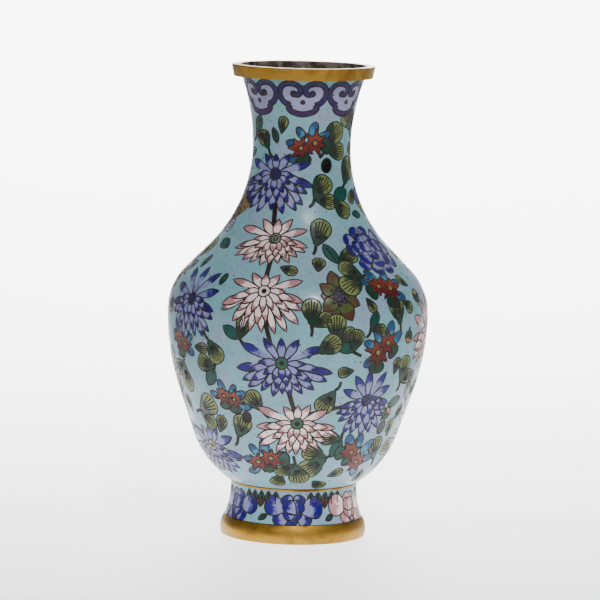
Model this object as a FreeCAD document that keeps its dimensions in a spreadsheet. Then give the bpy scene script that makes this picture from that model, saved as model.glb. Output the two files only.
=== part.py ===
import FreeCAD, Part
import math
import os
import Sketcher
from FreeCAD import Vector

# Cloisonne vase with a gilt mouth ring, foot ring and waist band.
# The origin is the middle of the foot, +Z is up, and lengths are millimetres.
# Angles round the vase start at the front, -Y, and grow towards +X.

DIMENSIONS = [
    ("total_height", 230.0, "foot plane to the top of the mouth ring"),
    ("belly_radius", 63.65, "outside radius at the girth"),
    ("belly_height", 109.75, "height of the girth"),
    ("belly_curve", 117.85, "radius of the long arc under the girth"),
    ("flank_slope", 18.9, "lean of the straight flank from upright, degrees"),
    ("flank_length", 23.0, "length of the straight flank"),
    ("heel_curve", 45.1, "radius of the arc that turns in to the waist"),
    ("shoulder_curve", 29.1, "radius of the shoulder arc"),
    ("slant_angle", 44.2, "lean of the straight slope above the shoulder, degrees"),
    ("slant_length", 17.3, "length of that straight slope"),
    ("neck_curve", 68.7, "radius of the hollow arc under the narrowest neck"),
    ("lip_curve", 97.1, "radius of the hollow arc that flares to the mouth"),
    ("waist_height", 26.0, "joint between the body and the foot"),
    ("foot_narrow_radius", 30.8, "least outside radius of the foot"),
    ("foot_narrow_height", 23.0, "height of that narrowest place"),
    ("foot_curve", 34.0, "radius of the hollow flare of the foot"),
    ("enamel_thickness", 1.0, "enamel and cloisons outside the copper"),
    ("copper_thickness", 1.2, "raised copper sheet"),
    ("wire_width", 0.35, "width of a cloison, seen from outside"),
    ("mouth_ring_height", 5.8, "height of the gilt mouth ring"),
    ("mouth_ring_low_radius", 33.8, "outside radius at its lower edge"),
    ("mouth_ring_top_radius", 34.9, "outside radius at its upper edge"),
    ("mouth_bore_radius", 30.5, "radius of the mouth"),
    ("mouth_bore_depth", 4.0, "depth of the straight part of the mouth"),
    ("mouth_seat_radius", 28.4, "inside radius where the ring sits on the neck"),
    ("ring_round", 0.5, "rounding of the mouth ring's upper edges"),
    ("foot_ring_height", 9.0, "height of the gilt foot ring"),
    ("foot_ring_top_radius", 33.8, "outside radius at its upper edge"),
    ("foot_ring_low_radius", 35.2, "outside radius at the floor"),
    ("foot_ring_bulge", 9.6, "radius of its rounded outside"),
    ("foot_ring_bore", 29.6, "inside radius of the foot ring"),
    ("base_radius", 30.8, "radius of the copper base plate"),
    ("base_thickness", 1.2, "thickness of the base plate"),
    ("band_width", 1.4, "height of the gilt band at the waist"),
    ("band_inner_radius", 29.95, "inside radius of the waist band"),
    ("band_straight", 0.6, "depth of the band behind its round nose"),
    ("flange_radius", 26.4, "opening in the foot's turned-in flange"),
    ("base_gap", 0.1, "play between the base enamel and the foot ring"),
]


class Measure:
    """A number together with the spreadsheet formula that gives it."""

    def __init__(self, value, formula=None):
        self.value = value
        self.formula = formula or repr(value)

    def joined(self, other, sign, value):
        return Measure(value, "(%s %s %s)" % (self.formula, sign, other.formula))

    def __add__(self, other):
        return self.joined(other, "+", self.value + other.value)

    def __sub__(self, other):
        return self.joined(other, "-", self.value - other.value)

    def __mul__(self, other):
        return self.joined(other, "*", self.value * other.value)


def cosine(angle):
    return Measure(math.cos(math.radians(angle.value)), "cos(%s)" % angle.formula)


def sine(angle):
    return Measure(math.sin(math.radians(angle.value)), "sin(%s)" % angle.formula)


def root(square):
    return Measure(math.sqrt(square.value), "sqrt(%s)" % square.formula)


doc = FreeCAD.newDocument("cloisonne_vase")
sheet = doc.addObject("Spreadsheet::Sheet", "Dims")
dims = {}
for row, (alias, number, note) in enumerate(DIMENSIONS, start=1):
    sheet.set("A%d" % row, alias)
    sheet.set("B%d" % row, str(number))
    sheet.setAlias("B%d" % row, alias)
    sheet.set("C%d" % row, note)
    dims[alias] = Measure(number, "Dims." + alias)
doc.recompute()

NOTHING = Measure(0.0)
HALF = Measure(0.5)
enamel = dims["enamel_thickness"]
copper_inset = enamel + dims["copper_thickness"]


# ---- the outline of the vase, and the same outline set in by a thickness ----

class Corner:
    """A corner of a section: radius and height, and the arc that leads to it."""

    def __init__(self, radius, height, arc=None, centre=None):
        self.radius = radius
        self.height = height
        self.arc = arc
        self.centre = centre


flank_cos = cosine(dims["flank_slope"])
flank_sin = sine(dims["flank_slope"])
slant_cos = cosine(dims["slant_angle"])
slant_sin = sine(dims["slant_angle"])

girth_height = dims["belly_height"]
belly_x = dims["belly_radius"] - dims["belly_curve"]
shoulder_x = dims["belly_radius"] - dims["shoulder_curve"]
flank_top_x = belly_x + dims["belly_curve"] * flank_cos
flank_top_z = girth_height - dims["belly_curve"] * flank_sin
flank_low_x = flank_top_x - dims["flank_length"] * flank_sin
flank_low_z = flank_top_z - dims["flank_length"] * flank_cos
heel_x = flank_low_x - dims["heel_curve"] * flank_cos
heel_z = flank_low_z + dims["heel_curve"] * flank_sin
slant_low_x = shoulder_x + dims["shoulder_curve"] * slant_cos
slant_low_z = girth_height + dims["shoulder_curve"] * slant_sin
slant_top_x = slant_low_x - dims["slant_length"] * slant_sin
slant_top_z = slant_low_z + dims["slant_length"] * slant_cos
neck_x = slant_top_x + dims["neck_curve"] * slant_cos
neck_z = slant_top_z + dims["neck_curve"] * slant_sin
neck_radius = neck_x - dims["neck_curve"]
lip_x = neck_radius + dims["lip_curve"]
lip_height = dims["total_height"] - dims["mouth_ring_height"]
foot_x = dims["foot_narrow_radius"] + dims["foot_curve"]
foot_z = dims["foot_narrow_height"]
band_half = dims["band_width"] * HALF
band_top = dims["waist_height"] + band_half
band_bottom = dims["waist_height"] - band_half
ring_height = dims["foot_ring_height"]


def heel_corner(inset, height):
    reach = dims["heel_curve"] - inset
    fall = heel_z - height
    return Corner(heel_x + root(reach * reach - fall * fall), height)


def flank_low_corner(inset):
    corner = Corner(flank_low_x - inset * flank_cos, flank_low_z + inset * flank_sin)
    corner.arc = dims["heel_curve"] - inset
    corner.centre = (heel_x, heel_z)
    return corner


def flank_top_corner(inset):
    return Corner(flank_top_x - inset * flank_cos, flank_top_z + inset * flank_sin)


def girth_corner(inset):
    corner = Corner(dims["belly_radius"] - inset, girth_height)
    corner.arc = dims["belly_curve"] - inset
    corner.centre = (belly_x, girth_height)
    return corner


def slant_low_corner(inset):
    corner = Corner(slant_low_x - inset * slant_cos, slant_low_z - inset * slant_sin)
    corner.arc = dims["shoulder_curve"] - inset
    corner.centre = (shoulder_x, girth_height)
    return corner


def slant_top_corner(inset):
    return Corner(slant_top_x - inset * slant_cos, slant_top_z - inset * slant_sin)


def neck_corner(inset):
    corner = Corner(neck_radius - inset, neck_z)
    corner.arc = dims["neck_curve"] + inset
    corner.centre = (neck_x, neck_z)
    return corner


def lip_corner(inset):
    reach = dims["lip_curve"] + inset
    rise = lip_height - neck_z
    corner = Corner(lip_x - root(reach * reach - rise * rise), lip_height)
    corner.arc = reach
    corner.centre = (lip_x, neck_z)
    return corner


def foot_corner(inset, height):
    reach = dims["foot_curve"] + inset
    rise = height - foot_z
    return Corner(foot_x - root(reach * reach - rise * rise), height)


def foot_arc_corner(inset, height):
    corner = foot_corner(inset, height)
    corner.arc = dims["foot_curve"] + inset
    corner.centre = (foot_x, foot_z)
    return corner


def belly_line(inset, height):
    return [heel_corner(inset, height), flank_low_corner(inset),
            flank_top_corner(inset), girth_corner(inset)]


def shoulder_line(inset):
    return [girth_corner(inset), slant_low_corner(inset), slant_top_corner(inset)]


def neck_line(inset):
    return [slant_top_corner(inset), neck_corner(inset), lip_corner(inset)]


def foot_line(inset, low, high):
    return [foot_corner(inset, low), foot_arc_corner(inset, high)]


def between(outer, inner):
    """The closed section between two outlines that both run upwards."""
    back = []
    carried = None
    for corner in reversed(inner):
        turned = Corner(corner.radius, corner.height)
        if carried is not None:
            turned.arc = carried.arc
            turned.centre = carried.centre
        back.append(turned)
        carried = corner
    start = Corner(outer[0].radius, outer[0].height)
    return [start] + outer[1:] + back


# ---- PartDesign bodies ----

def plane_of(body, role):
    for feature in body.Origin.OriginFeatures:
        if feature.Role == role:
            return feature
    raise ValueError(role)


def edge_between(start, end):
    """The line or arc that leads from one corner of a section to the next."""
    first = Vector(start.radius.value, start.height.value, 0)
    last = Vector(end.radius.value, end.height.value, 0)
    if end.arc is None:
        return Part.LineSegment(first, last), True
    centre = Vector(end.centre[0].value, end.centre[1].value, 0)
    turn = (first - centre).cross(last - centre).z
    circle = Part.Circle(centre, Vector(0, 0, 1), end.arc.value)
    from_angle = circle.parameter(first)
    to_angle = circle.parameter(last)
    if turn > 0:
        return Part.ArcOfCircle(circle, from_angle, to_angle), True
    return Part.ArcOfCircle(circle, to_angle, from_angle), False


def bind(sketch, kind, element, point, measure, name):
    """Adds a dimension to a sketch and ties it to the spreadsheet."""
    if point:
        constraint = Sketcher.Constraint(kind, element, point, measure.value)
    else:
        constraint = Sketcher.Constraint(kind, element, measure.value)
    index = sketch.addConstraint(constraint)
    sketch.renameConstraint(index, name)
    sketch.setExpression("Constraints." + name, measure.formula)


def draw_section(sketch, corners):
    """Draws a closed section, every corner tied to the spreadsheet."""
    ends = []
    count = len(corners)
    for index, corner in enumerate(corners):
        following = corners[(index + 1) % count]
        edge, forward = edge_between(corner, following)
        element = sketch.addGeometry(edge)
        ends.append((element, (1, 2) if forward else (2, 1)))
    for index, (element, (start, end)) in enumerate(ends):
        after, (after_start, after_end) = ends[(index + 1) % count]
        joint = Sketcher.Constraint("Coincident", element, end, after, after_start)
        sketch.addConstraint(joint)
        corner = corners[index]
        bind(sketch, "DistanceX", element, start, corner.radius, "radius_%d" % index)
        bind(sketch, "DistanceY", element, start, corner.height, "height_%d" % index)
        following = corners[(index + 1) % count]
        if following.arc is not None:
            bind(sketch, "Radius", element, 0, following.arc, "arc_%d" % index)


def turned_body(label, corners):
    """A body spun from a section about the axis of the vase."""
    body = doc.addObject("PartDesign::Body", label)
    body.Label = label
    sketch = body.newObject("Sketcher::SketchObject", label + "_section")
    sketch.AttachmentSupport = [(plane_of(body, "XZ_Plane"), "")]
    sketch.MapMode = "FlatFace"
    draw_section(sketch, corners)
    spin = body.newObject("PartDesign::Revolution", label + "_turn")
    spin.Profile = sketch
    spin.ReferenceAxis = (sketch, ["V_Axis"])
    spin.Angle = 360.0
    body.Placement = FreeCAD.Placement()
    return body


def mouth_ring_section():
    top = dims["total_height"]
    seat = top - dims["mouth_bore_depth"]
    rounding = dims["ring_round"]
    outer = dims["mouth_ring_top_radius"]
    bore = dims["mouth_bore_radius"]
    crown = top - rounding
    return [
        Corner(dims["mouth_seat_radius"], lip_height),
        Corner(dims["mouth_ring_low_radius"], lip_height),
        Corner(outer, crown),
        Corner(outer - rounding, top, rounding, (outer - rounding, crown)),
        Corner(bore, top),
        Corner(bore, seat),
    ]


def foot_ring_section():
    """A ring with a straight bore and one bulging arc outside."""
    low = dims["foot_ring_low_radius"]
    high = dims["foot_ring_top_radius"]
    bulge = dims["foot_ring_bulge"]
    half_x = (high - low) * HALF
    half_z = ring_height * HALF
    half_chord = root(half_x * half_x + half_z * half_z)
    offset = root(bulge * bulge - half_chord * half_chord)
    inverse = Measure(1.0 / half_chord.value, "(1 / %s)" % half_chord.formula)
    centre_x = low + half_x - offset * half_z * inverse
    centre_z = half_z + offset * half_x * inverse
    return [
        Corner(dims["foot_ring_bore"], NOTHING),
        Corner(low, NOTHING),
        Corner(high, ring_height, bulge, (centre_x, centre_z)),
        Corner(dims["foot_ring_bore"], ring_height),
    ]


def foot_copper_section():
    """The hollow skirt with a flange turned in under the body."""
    top = dims["waist_height"]
    under = top - dims["copper_thickness"]
    outside = foot_line(enamel, ring_height, top)
    inside = foot_line(copper_inset, ring_height, under)
    foot = between(outside, inside)
    foot.insert(2, Corner(dims["flange_radius"], top))
    foot.insert(3, Corner(dims["flange_radius"], under))
    return foot


def band_section():
    inner = dims["band_inner_radius"]
    nose = inner + dims["band_straight"]
    middle = dims["waist_height"]
    return [
        Corner(inner, band_bottom),
        Corner(nose, band_bottom),
        Corner(nose + band_half, middle, band_half, (nose, middle)),
        Corner(nose, band_top, band_half, (nose, middle)),
        Corner(inner, band_top),
    ]


def body_line(inset, height):
    return belly_line(inset, height) + shoulder_line(inset)[1:] + neck_line(inset)[1:]


turned_body("neck_copper", between(neck_line(enamel), neck_line(copper_inset)))
turned_body("shoulder_copper", between(shoulder_line(enamel), shoulder_line(copper_inset)))
turned_body("belly_copper", between(belly_line(enamel, dims["waist_height"]),
                                    belly_line(copper_inset, dims["waist_height"])))
turned_body("foot_copper", foot_copper_section())
turned_body("mouth_ring", mouth_ring_section())
turned_body("foot_ring", foot_ring_section())
turned_body("waist_band", band_section())
body_shell = turned_body("body_enamel_shell",
                         between(body_line(NOTHING, band_top), body_line(enamel, band_top)))
foot_shell = turned_body("foot_enamel_shell",
                         between(foot_line(NOTHING, ring_height, band_bottom),
                                 foot_line(enamel, ring_height, band_bottom)))


def disc(label, radius, thickness, height):
    """A round plate whose sizes and place come from the spreadsheet."""
    plate = doc.addObject("Part::Cylinder", label)
    plate.Label = label
    plate.setExpression("Radius", radius.formula)
    plate.setExpression("Height", thickness.formula)
    plate.setExpression(".Placement.Base.z", height.formula)
    return plate


disc("base_plate", dims["base_radius"], dims["base_thickness"], ring_height)
disc("base_counter_enamel", dims["foot_ring_bore"] - dims["base_gap"], enamel,
     ring_height - enamel)
doc.recompute()


# ---- places on the enamel, and flat drawings laid on them ----

def skin(value):
    """Outside radius at a height, and how far the surface there faces up."""
    if value < dims["waist_height"].value:
        return hollow(value, foot_x, foot_z, dims["foot_curve"])
    if value < flank_low_z.value:
        return swelling(value, heel_x, heel_z, dims["heel_curve"])
    if value < flank_top_z.value:
        along = (value - flank_low_z.value) / flank_cos.value
        return flank_low_x.value + along * flank_sin.value, -dims["flank_slope"].value
    if value < girth_height.value:
        return swelling(value, belly_x, girth_height, dims["belly_curve"])
    if value < slant_low_z.value:
        return swelling(value, shoulder_x, girth_height, dims["shoulder_curve"])
    if value < slant_top_z.value:
        along = (value - slant_low_z.value) / slant_cos.value
        return slant_low_x.value - along * slant_sin.value, dims["slant_angle"].value
    if value < neck_z.value:
        return hollow(value, neck_x, neck_z, dims["neck_curve"])
    return hollow(value, lip_x, neck_z, dims["lip_curve"])


def swelling(height, centre_x, centre_z, arc):
    tilt = math.asin((height - centre_z.value) / arc.value)
    return centre_x.value + arc.value * math.cos(tilt), math.degrees(tilt)


def hollow(height, centre_x, centre_z, arc):
    tilt = math.asin((centre_z.value - height) / arc.value)
    return centre_x.value - arc.value * math.cos(tilt), math.degrees(tilt)


def spot(angle, height):
    """The flat frame that touches the vase there: x runs right, y up, z outwards."""
    radius, tilt = skin(height)
    frame = FreeCAD.Placement(Vector(0, -radius, height), FreeCAD.Rotation())
    lean = FreeCAD.Rotation(Vector(1, 0, 0), 90 - tilt)
    frame.Rotation = lean
    round_axis = FreeCAD.Placement(Vector(), FreeCAD.Rotation(Vector(0, 0, 1), angle))
    return round_axis.multiply(frame)


wire_width = dims["wire_width"].value
DEEPEST = 14.0
PROUD = 3.0


def point(radius, direction):
    turn = math.radians(direction)
    return Vector(radius * math.cos(turn), radius * math.sin(turn), 0)


def outline(*edges):
    return Part.Wire([edge.toShape() for edge in edges])


def petal_shoulder(tip_radius, half_angle):
    """How far out the straight sides of a petal end and its round tip begins."""
    return tip_radius / (1 + math.tan(math.radians(half_angle)))


def petal(direction, root_radius, tip_radius, half_angle):
    """A petal with straight sides and a round tip, pointing away from the middle."""
    shoulder = petal_shoulder(tip_radius, half_angle)
    root_corner = root_radius / math.cos(math.radians(half_angle))
    root_left = point(root_corner, direction + half_angle)
    root_right = point(root_corner, direction - half_angle)
    tip_left = point(shoulder, direction + half_angle)
    tip_right = point(shoulder, direction - half_angle)
    tip = point(tip_radius, direction)
    return outline(
        Part.LineSegment(root_right, tip_right),
        Part.Arc(tip_right, tip, tip_left),
        Part.LineSegment(tip_left, root_left),
        Part.LineSegment(root_left, root_right),
    )


def round_cell(radius):
    return outline(Part.Circle(Vector(), Vector(0, 0, 1), radius))


def leaf(length, width, direction, start):
    """A pointed leaf made of two arcs."""
    tip = start + point(length, direction)
    middle = (start + tip) * 0.5
    left = middle + point(width / 2, direction + 90)
    right = middle + point(width / 2, direction - 90)
    return outline(Part.Arc(start, left, tip), Part.Arc(tip, right, start))


def ellipse_reach(direction, reaches):
    """How far a flower reaches: a different quarter ellipse on each side."""
    right, up, left, down = reaches
    turn = math.radians(direction)
    across = right if math.cos(turn) > 0 else left
    along = up if math.sin(turn) > 0 else down
    return 1 / math.hypot(math.cos(turn) / across, math.sin(turn) / along)


def scalloped(tips, half_step, first):
    """The outer edge of a flower: a round tip for each petal, stepping in or out between."""
    edges = []
    for number, reach in enumerate(tips):
        direction = first + number * 2 * half_step
        following = tips[(number + 1) % len(tips)]
        right = point(petal_shoulder(reach, half_step), direction - half_step)
        left = point(petal_shoulder(reach, half_step), direction + half_step)
        next_right = point(petal_shoulder(following, half_step), direction + half_step)
        edges.append(Part.Arc(right, point(reach, direction), left))
        if (next_right - left).Length > SMALLEST_STEP:
            edges.append(Part.LineSegment(left, next_right))
    return outline(*edges)


def flower(heart, reaches, count, first):
    """A heart, a ring of petals reaching further on some sides, and the edge round all."""
    step = 360 / count
    cells = [round_cell(heart)]
    tips = []
    for number in range(count):
        direction = first + number * step
        reach = ellipse_reach(direction, reaches)
        tips.append(reach)
        cells.append(petal(direction, heart + wire_width, reach - wire_width,
                           step / 2 - PETAL_GAP))
    return [(scalloped(tips, step / 2, first), cells)]


def chrysanthemum(reaches):
    """A disc and a ring of long narrow petals of uneven length."""
    return flower(DISC_RADIUS, reaches, CHRYSANTHEMUM_PETALS, CHRYSANTHEMUM_TURN)


def peony(reaches):
    """A broad heart and a ring of broad petals."""
    return flower(HEART_SHARE * min(reaches), reaches, PEONY_PETALS, PEONY_TURN)


def walled(wires):
    """Single cells, each with its own cloison just inside its edge."""
    drawing = []
    for wire in wires:
        shrunk = Part.Face(wire).makeOffset2D(-wire_width)
        drawing.append((wire, [max(shrunk.Wires, key=lambda loop: loop.Length)]))
    return drawing


def blossom(radius):
    """Five round petals about a small eye."""
    return flower(radius * EYE_SHARE, (radius,) * 4, BLOSSOM_PETALS, BLOSSOM_TURN)


def centred_leaf(length, width, direction):
    return walled([leaf(length, width, direction, point(-length / 2, direction))])


def trefoil(length, width):
    """Three leaves from one stalk."""
    return walled([leaf(length, width, direction, point(STALK_GAP, direction))
                   for direction in TREFOIL_DIRECTIONS])


def pomegranate(radius):
    """A round fruit under a crown of three points."""
    cells = [round_cell(radius)]
    for direction in CROWN_DIRECTIONS:
        cells.append(petal(direction, radius + CELL_GAP, radius + CROWN_HEIGHT, CROWN_SPREAD))
    return walled(cells)


def butterfly(span):
    """Two wings on each side of a slim body."""
    waist = span * BUTTERFLY_WAIST
    cells = [leaf(span * BODY_LENGTH, waist, 90, point(span * BODY_LENGTH / 2, 270))]
    for direction, share in WINGS:
        cells.append(petal(direction, waist, span / 2 * share, WING_SPREAD))
    return walled(cells)


def lappet():
    """A hanging cloud-shaped tab: straight above, three lobes below."""
    top_left = Vector(-LAPPET_HALF, LAPPET_TOP, 0)
    top_right = Vector(LAPPET_HALF, LAPPET_TOP, 0)
    notch_right = Vector(LAPPET_NOTCH, -LAPPET_NOTCH_DROP, 0)
    notch_left = Vector(-LAPPET_NOTCH, -LAPPET_NOTCH_DROP, 0)
    side_right = Vector(LAPPET_SIDE, LAPPET_SIDE_HEIGHT, 0)
    side_left = Vector(-LAPPET_SIDE, LAPPET_SIDE_HEIGHT, 0)
    return walled([outline(
        Part.LineSegment(top_left, top_right),
        Part.Arc(top_right, side_right, notch_right),
        Part.Arc(notch_right, Vector(0, -LAPPET_DROP, 0), notch_left),
        Part.Arc(notch_left, side_left, top_left),
    )])


def inlay(shell, frame, drawing):
    """Cells cut through the enamel: their pockets, enamel fillings and cloisons."""
    lowered = frame.multiply(FreeCAD.Placement(Vector(0, 0, -DEEPEST), FreeCAD.Rotation()))
    depth = Vector(0, 0, DEEPEST + PROUD)
    pockets = []
    fillings = []
    cloisons = []
    for edge, cells in drawing:
        pocket = Part.Face(edge).extrude(depth)
        cores = Part.makeCompound([Part.Face(cell).extrude(depth) for cell in cells])
        pocket.Placement = lowered
        cores.Placement = lowered
        block = shell.common(pocket)
        pockets.append(pocket)
        fillings.extend(block.common(cores).Solids)
        cloisons.extend(block.cut(cores).Solids)
    return pockets, fillings, cloisons


CHRYSANTHEMUM_PETALS = 12
PEONY_PETALS = 7
DISC_RADIUS = 3.3
HEART_SHARE = 0.36
CHRYSANTHEMUM_TURN = 0
PEONY_TURN = 90
BLOSSOM_PETALS = 5
BLOSSOM_TURN = 90
EYE_SHARE = 0.36
CELL_GAP = 0.25
PETAL_GAP = 1.2
SMALLEST_STEP = 0.01
STALK_GAP = 1.5
TREFOIL_DIRECTIONS = (90, 205, 335)
CROWN_DIRECTIONS = (65, 90, 115)
CROWN_HEIGHT = 5
CROWN_SPREAD = 10
BUTTERFLY_WAIST = 0.12
BODY_LENGTH = 0.6
WINGS = ((35, 1.0), (335, 0.7), (145, 1.0), (205, 0.7))
WING_SPREAD = 20
LAPPET_COUNT = 7
LAPPET_HALF = 10.9
LAPPET_SIDE = 10.3
LAPPET_TOP = 7.5
LAPPET_NOTCH = 5.0
LAPPET_NOTCH_DROP = 3.0
LAPPET_SIDE_HEIGHT = 0.5
LAPPET_DROP = 8.5
LAPPET_HEIGHT = 214.5

# Each motif is listed once for the front, by its angle and height, and repeated half a turn away.
# A flower's reaches are to its right, up, left and down.
CHRYSANTHEMUMS = [
    ("neck", "blue", "pink", -30, 178.5, (15.5, 9, 17, 17)),
    ("shoulder", "pink", "blue", -18, 149, (14, 10, 20, 14)),
    ("shoulder", "pink", "blue", -16, 126, (18.5, 9, 19, 17.5)),
    ("shoulder", "blue", "pink", -55, 119, (16, 17, 17, 17)),
    ("belly", "pink", "blue", 80, 103, (18, 17, 18, 17)),
    ("belly", "blue", "pink", -6.5, 92, (21, 11.5, 20, 15)),
    ("belly", "blue", "pink", 36, 73, (13, 14, 14, 18)),
    ("lower", "pink", "blue", 1, 62, (17.5, 9, 19, 15)),
    ("lower", "blue", "pink", -55, 46.6, (17, 10, 16, 15)),
    ("lower", "pink", "blue", 88, 56, (16, 13, 15, 15)),
]
PEONIES = [(53, 144, (16, 11, 13.5, 14))]
LEAVES = [
    (-60, 201, 8, 4.5, 60), (-46, 193, 6, 4, 120), (35, 195, 9, 5, 60), (65, 203, 8, 5, 120),
    (60, 178, 9, 5, 60), (43, 169, 8, 5, 30), (19, 171, 8, 4.5, 60), (80, 190, 9, 5, 90),
    (85, 168, 9, 5, 60), (14, 150, 9, 4.5, 70), (21, 142, 9, 4.5, 110), (30, 131, 9, 4.5, 20),
    (68, 126, 8, 5, 90), (99, 139, 9, 4.5, 60), (6, 115, 8, 4.5, 90), (35, 112, 7, 4, 60),
    (50, 114, 9, 5, 100), (-29, 105, 8, 4.5, 150), (-40, 97, 8, 4.5, 120), (-42, 83, 8, 5, 60),
    (-62, 82, 9, 5, 90), (-75, 108, 9, 5, 90), (57, 98, 8, 4.5, 80), (57, 85, 8, 4.5, 80),
    (68, 74, 9, 5, 120), (16, 75, 8, 4.5, 60), (-19, 71, 7, 4.5, 130), (-52, 66, 9, 5, 20),
    (56, 68.4, 8, 5, 45), (72, 40, 9, 5, 60), (54, 45, 8, 4.5, 110), (14, 41, 9, 5, 40),
    (24, 50, 8, 4.5, 70), (2, 37, 8, 4.5, 100), (-30, 57, 8, 4.5, 60), (-77, 69, 8, 4.5, 80),
]
BLOSSOMS = [
    (8, 192, 5.5), (45, 125.5, 6.5), (42, 97, 6.5), (-34, 71, 5.5), (-62, 96, 5.5),
    (36, 43, 6.5), (-17, 41, 6.0), (-85, 128, 6.5), (100, 80, 6.0),
]
FRUITS = [(30, 183, 3.5), (-25, 64, 3.0), (52, 58, 3.5), (-76, 90, 3.5), (67, 82, 3.0)]
TREFOILS = [(17, 102, 8, 4.5)]
POMEGRANATES = [(19, 116.5, 5.5)]
BUTTERFLIES = [(-82, 152, 22)]
FOOT_PEONIES = [(0, 16, (13, 6, 13, 5.5)), (60, 16, (13, 6, 13, 5.5)), (120, 16, (13, 6, 13, 5.5))]
FOOT_LEAVES = [
    (30, 20, 6, 3, 80), (33, 12.5, 5, 2.6, 30), (90, 20, 6, 3, 100), (93, 12.5, 5, 2.6, 30),
    (150, 20, 6, 3, 80), (153, 12.5, 5, 2.6, 30),
]
HALF_TURNS = (0, 180)


def motifs():
    """Every motif: its enamel node, its cloison node, its place and its drawing."""
    made = []
    for half, turn in enumerate(HALF_TURNS):
        for number, (tier, colour, other, angle, height, reaches) in enumerate(CHRYSANTHEMUMS):
            name = "chrysanthemum_%02d_%s" % (number + 1 + half * len(CHRYSANTHEMUMS),
                                              (colour, other)[half])
            made.append((name, tier + "_chrysanthemum_cloisons", angle + turn, height,
                         chrysanthemum(reaches)))
        for angle, height, reaches in PEONIES:
            made.append(("peony_%d" % (half + 1), "peony_cloisons", angle + turn, height,
                         peony(reaches)))
        for angle, height, length, width, direction in LEAVES:
            made.append(("leaf_enamel", "leaf_cloisons", angle + turn, height,
                         centred_leaf(length, width, direction)))
        for angle, height, length, width in TREFOILS:
            made.append(("leaf_enamel", "leaf_cloisons", angle + turn, height,
                         trefoil(length, width)))
        for angle, height, radius in BLOSSOMS:
            made.append(("blossom_enamel", "blossom_cloisons", angle + turn, height,
                         blossom(radius)))
        for angle, height, radius in FRUITS:
            made.append(("fruit_enamel", "fruit_cloisons", angle + turn, height,
                         walled([round_cell(radius)])))
        for angle, height, radius in POMEGRANATES:
            made.append(("pomegranate_enamel", "fruit_cloisons", angle + turn, height,
                         pomegranate(radius)))
        for angle, height, span in BUTTERFLIES:
            made.append(("butterfly_enamel", "butterfly_cloisons", angle + turn, height,
                         butterfly(span)))
        for angle, height, reaches in FOOT_PEONIES:
            made.append(("foot_peony_enamel", "foot_peony_cloisons", angle + turn, height,
                         peony(reaches)))
        for angle, height, length, width, direction in FOOT_LEAVES:
            made.append(("foot_leaf_enamel", "foot_leaf_cloisons", angle + turn, height,
                         centred_leaf(length, width, direction)))
    for number in range(LAPPET_COUNT):
        made.append(("collar_enamel", "collar_cloisons", number * 360 / LAPPET_COUNT,
                     LAPPET_HEIGHT, lappet()))
    return made


def lay_enamel():
    """Lays every motif into the enamel and gathers the pieces by node."""
    nodes = {}
    pockets = {body_shell.Name: [], foot_shell.Name: []}
    for filling_node, cloison_node, angle, height, drawing in motifs():
        shell = foot_shell if height < band_bottom.value else body_shell
        holes, fillings, cloisons = inlay(shell.Shape, spot(angle, height), drawing)
        pockets[shell.Name].extend(holes)
        nodes.setdefault(filling_node, []).extend(fillings)
        nodes.setdefault(cloison_node, []).extend(cloisons)
    for label, solids in nodes.items():
        inlaid = doc.addObject("Part::Feature", label)
        inlaid.Label = label
        inlaid.Shape = Part.makeCompound(solids)
        inlaid.Placement = FreeCAD.Placement()
    return pockets


def ground(label, shell, holes):
    """The ground enamel: the whole skin less the pockets of its motifs."""
    cutter = doc.addObject("Part::Feature", label + "_pockets")
    cutter.Shape = Part.makeCompound(holes)
    remainder = doc.addObject("Part::Cut", label)
    remainder.Label = label
    remainder.Base = shell
    remainder.Tool = cutter


pockets = lay_enamel()
ground("body_ground_enamel", body_shell, pockets[body_shell.Name])
ground("foot_ground_enamel", foot_shell, pockets[foot_shell.Name])
doc.recompute()


# ---- checks and files ----

UNWRITTEN = ("_shell", "_pockets")


def written(item):
    """Whether an object is a piece of the vase and not a step towards one."""
    kinds = ("PartDesign::Body", "Part::Cylinder", "Part::Feature", "Part::Cut")
    return item.TypeId in kinds and not item.Label.endswith(UNWRITTEN)


for item in doc.Objects:
    if "Invalid" in item.State or "Error" in item.State:
        raise RuntimeError("%s did not compute" % item.Label)

os.makedirs("parts", exist_ok=True)
pieces = [item for item in doc.Objects if written(item)]
for piece in pieces:
    if piece.Shape.isNull() or not piece.Shape.isValid() or not piece.Shape.Solids:
        raise RuntimeError("%s has no valid solid" % piece.Label)
for piece in pieces:
    piece.Shape.exportStep("parts/%s.step" % piece.Label)
print("%d pieces written" % len(pieces))
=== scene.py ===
"""A cloisonne vase: flower enamel between wires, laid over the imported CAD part.

Lengths are in millimetres until a mesh is made, angles in degrees from the front towards +X.
"""

import math
import random

import bpy
import numpy as np
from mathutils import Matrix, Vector
from mathutils.geometry import delaunay_2d_cdt


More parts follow.
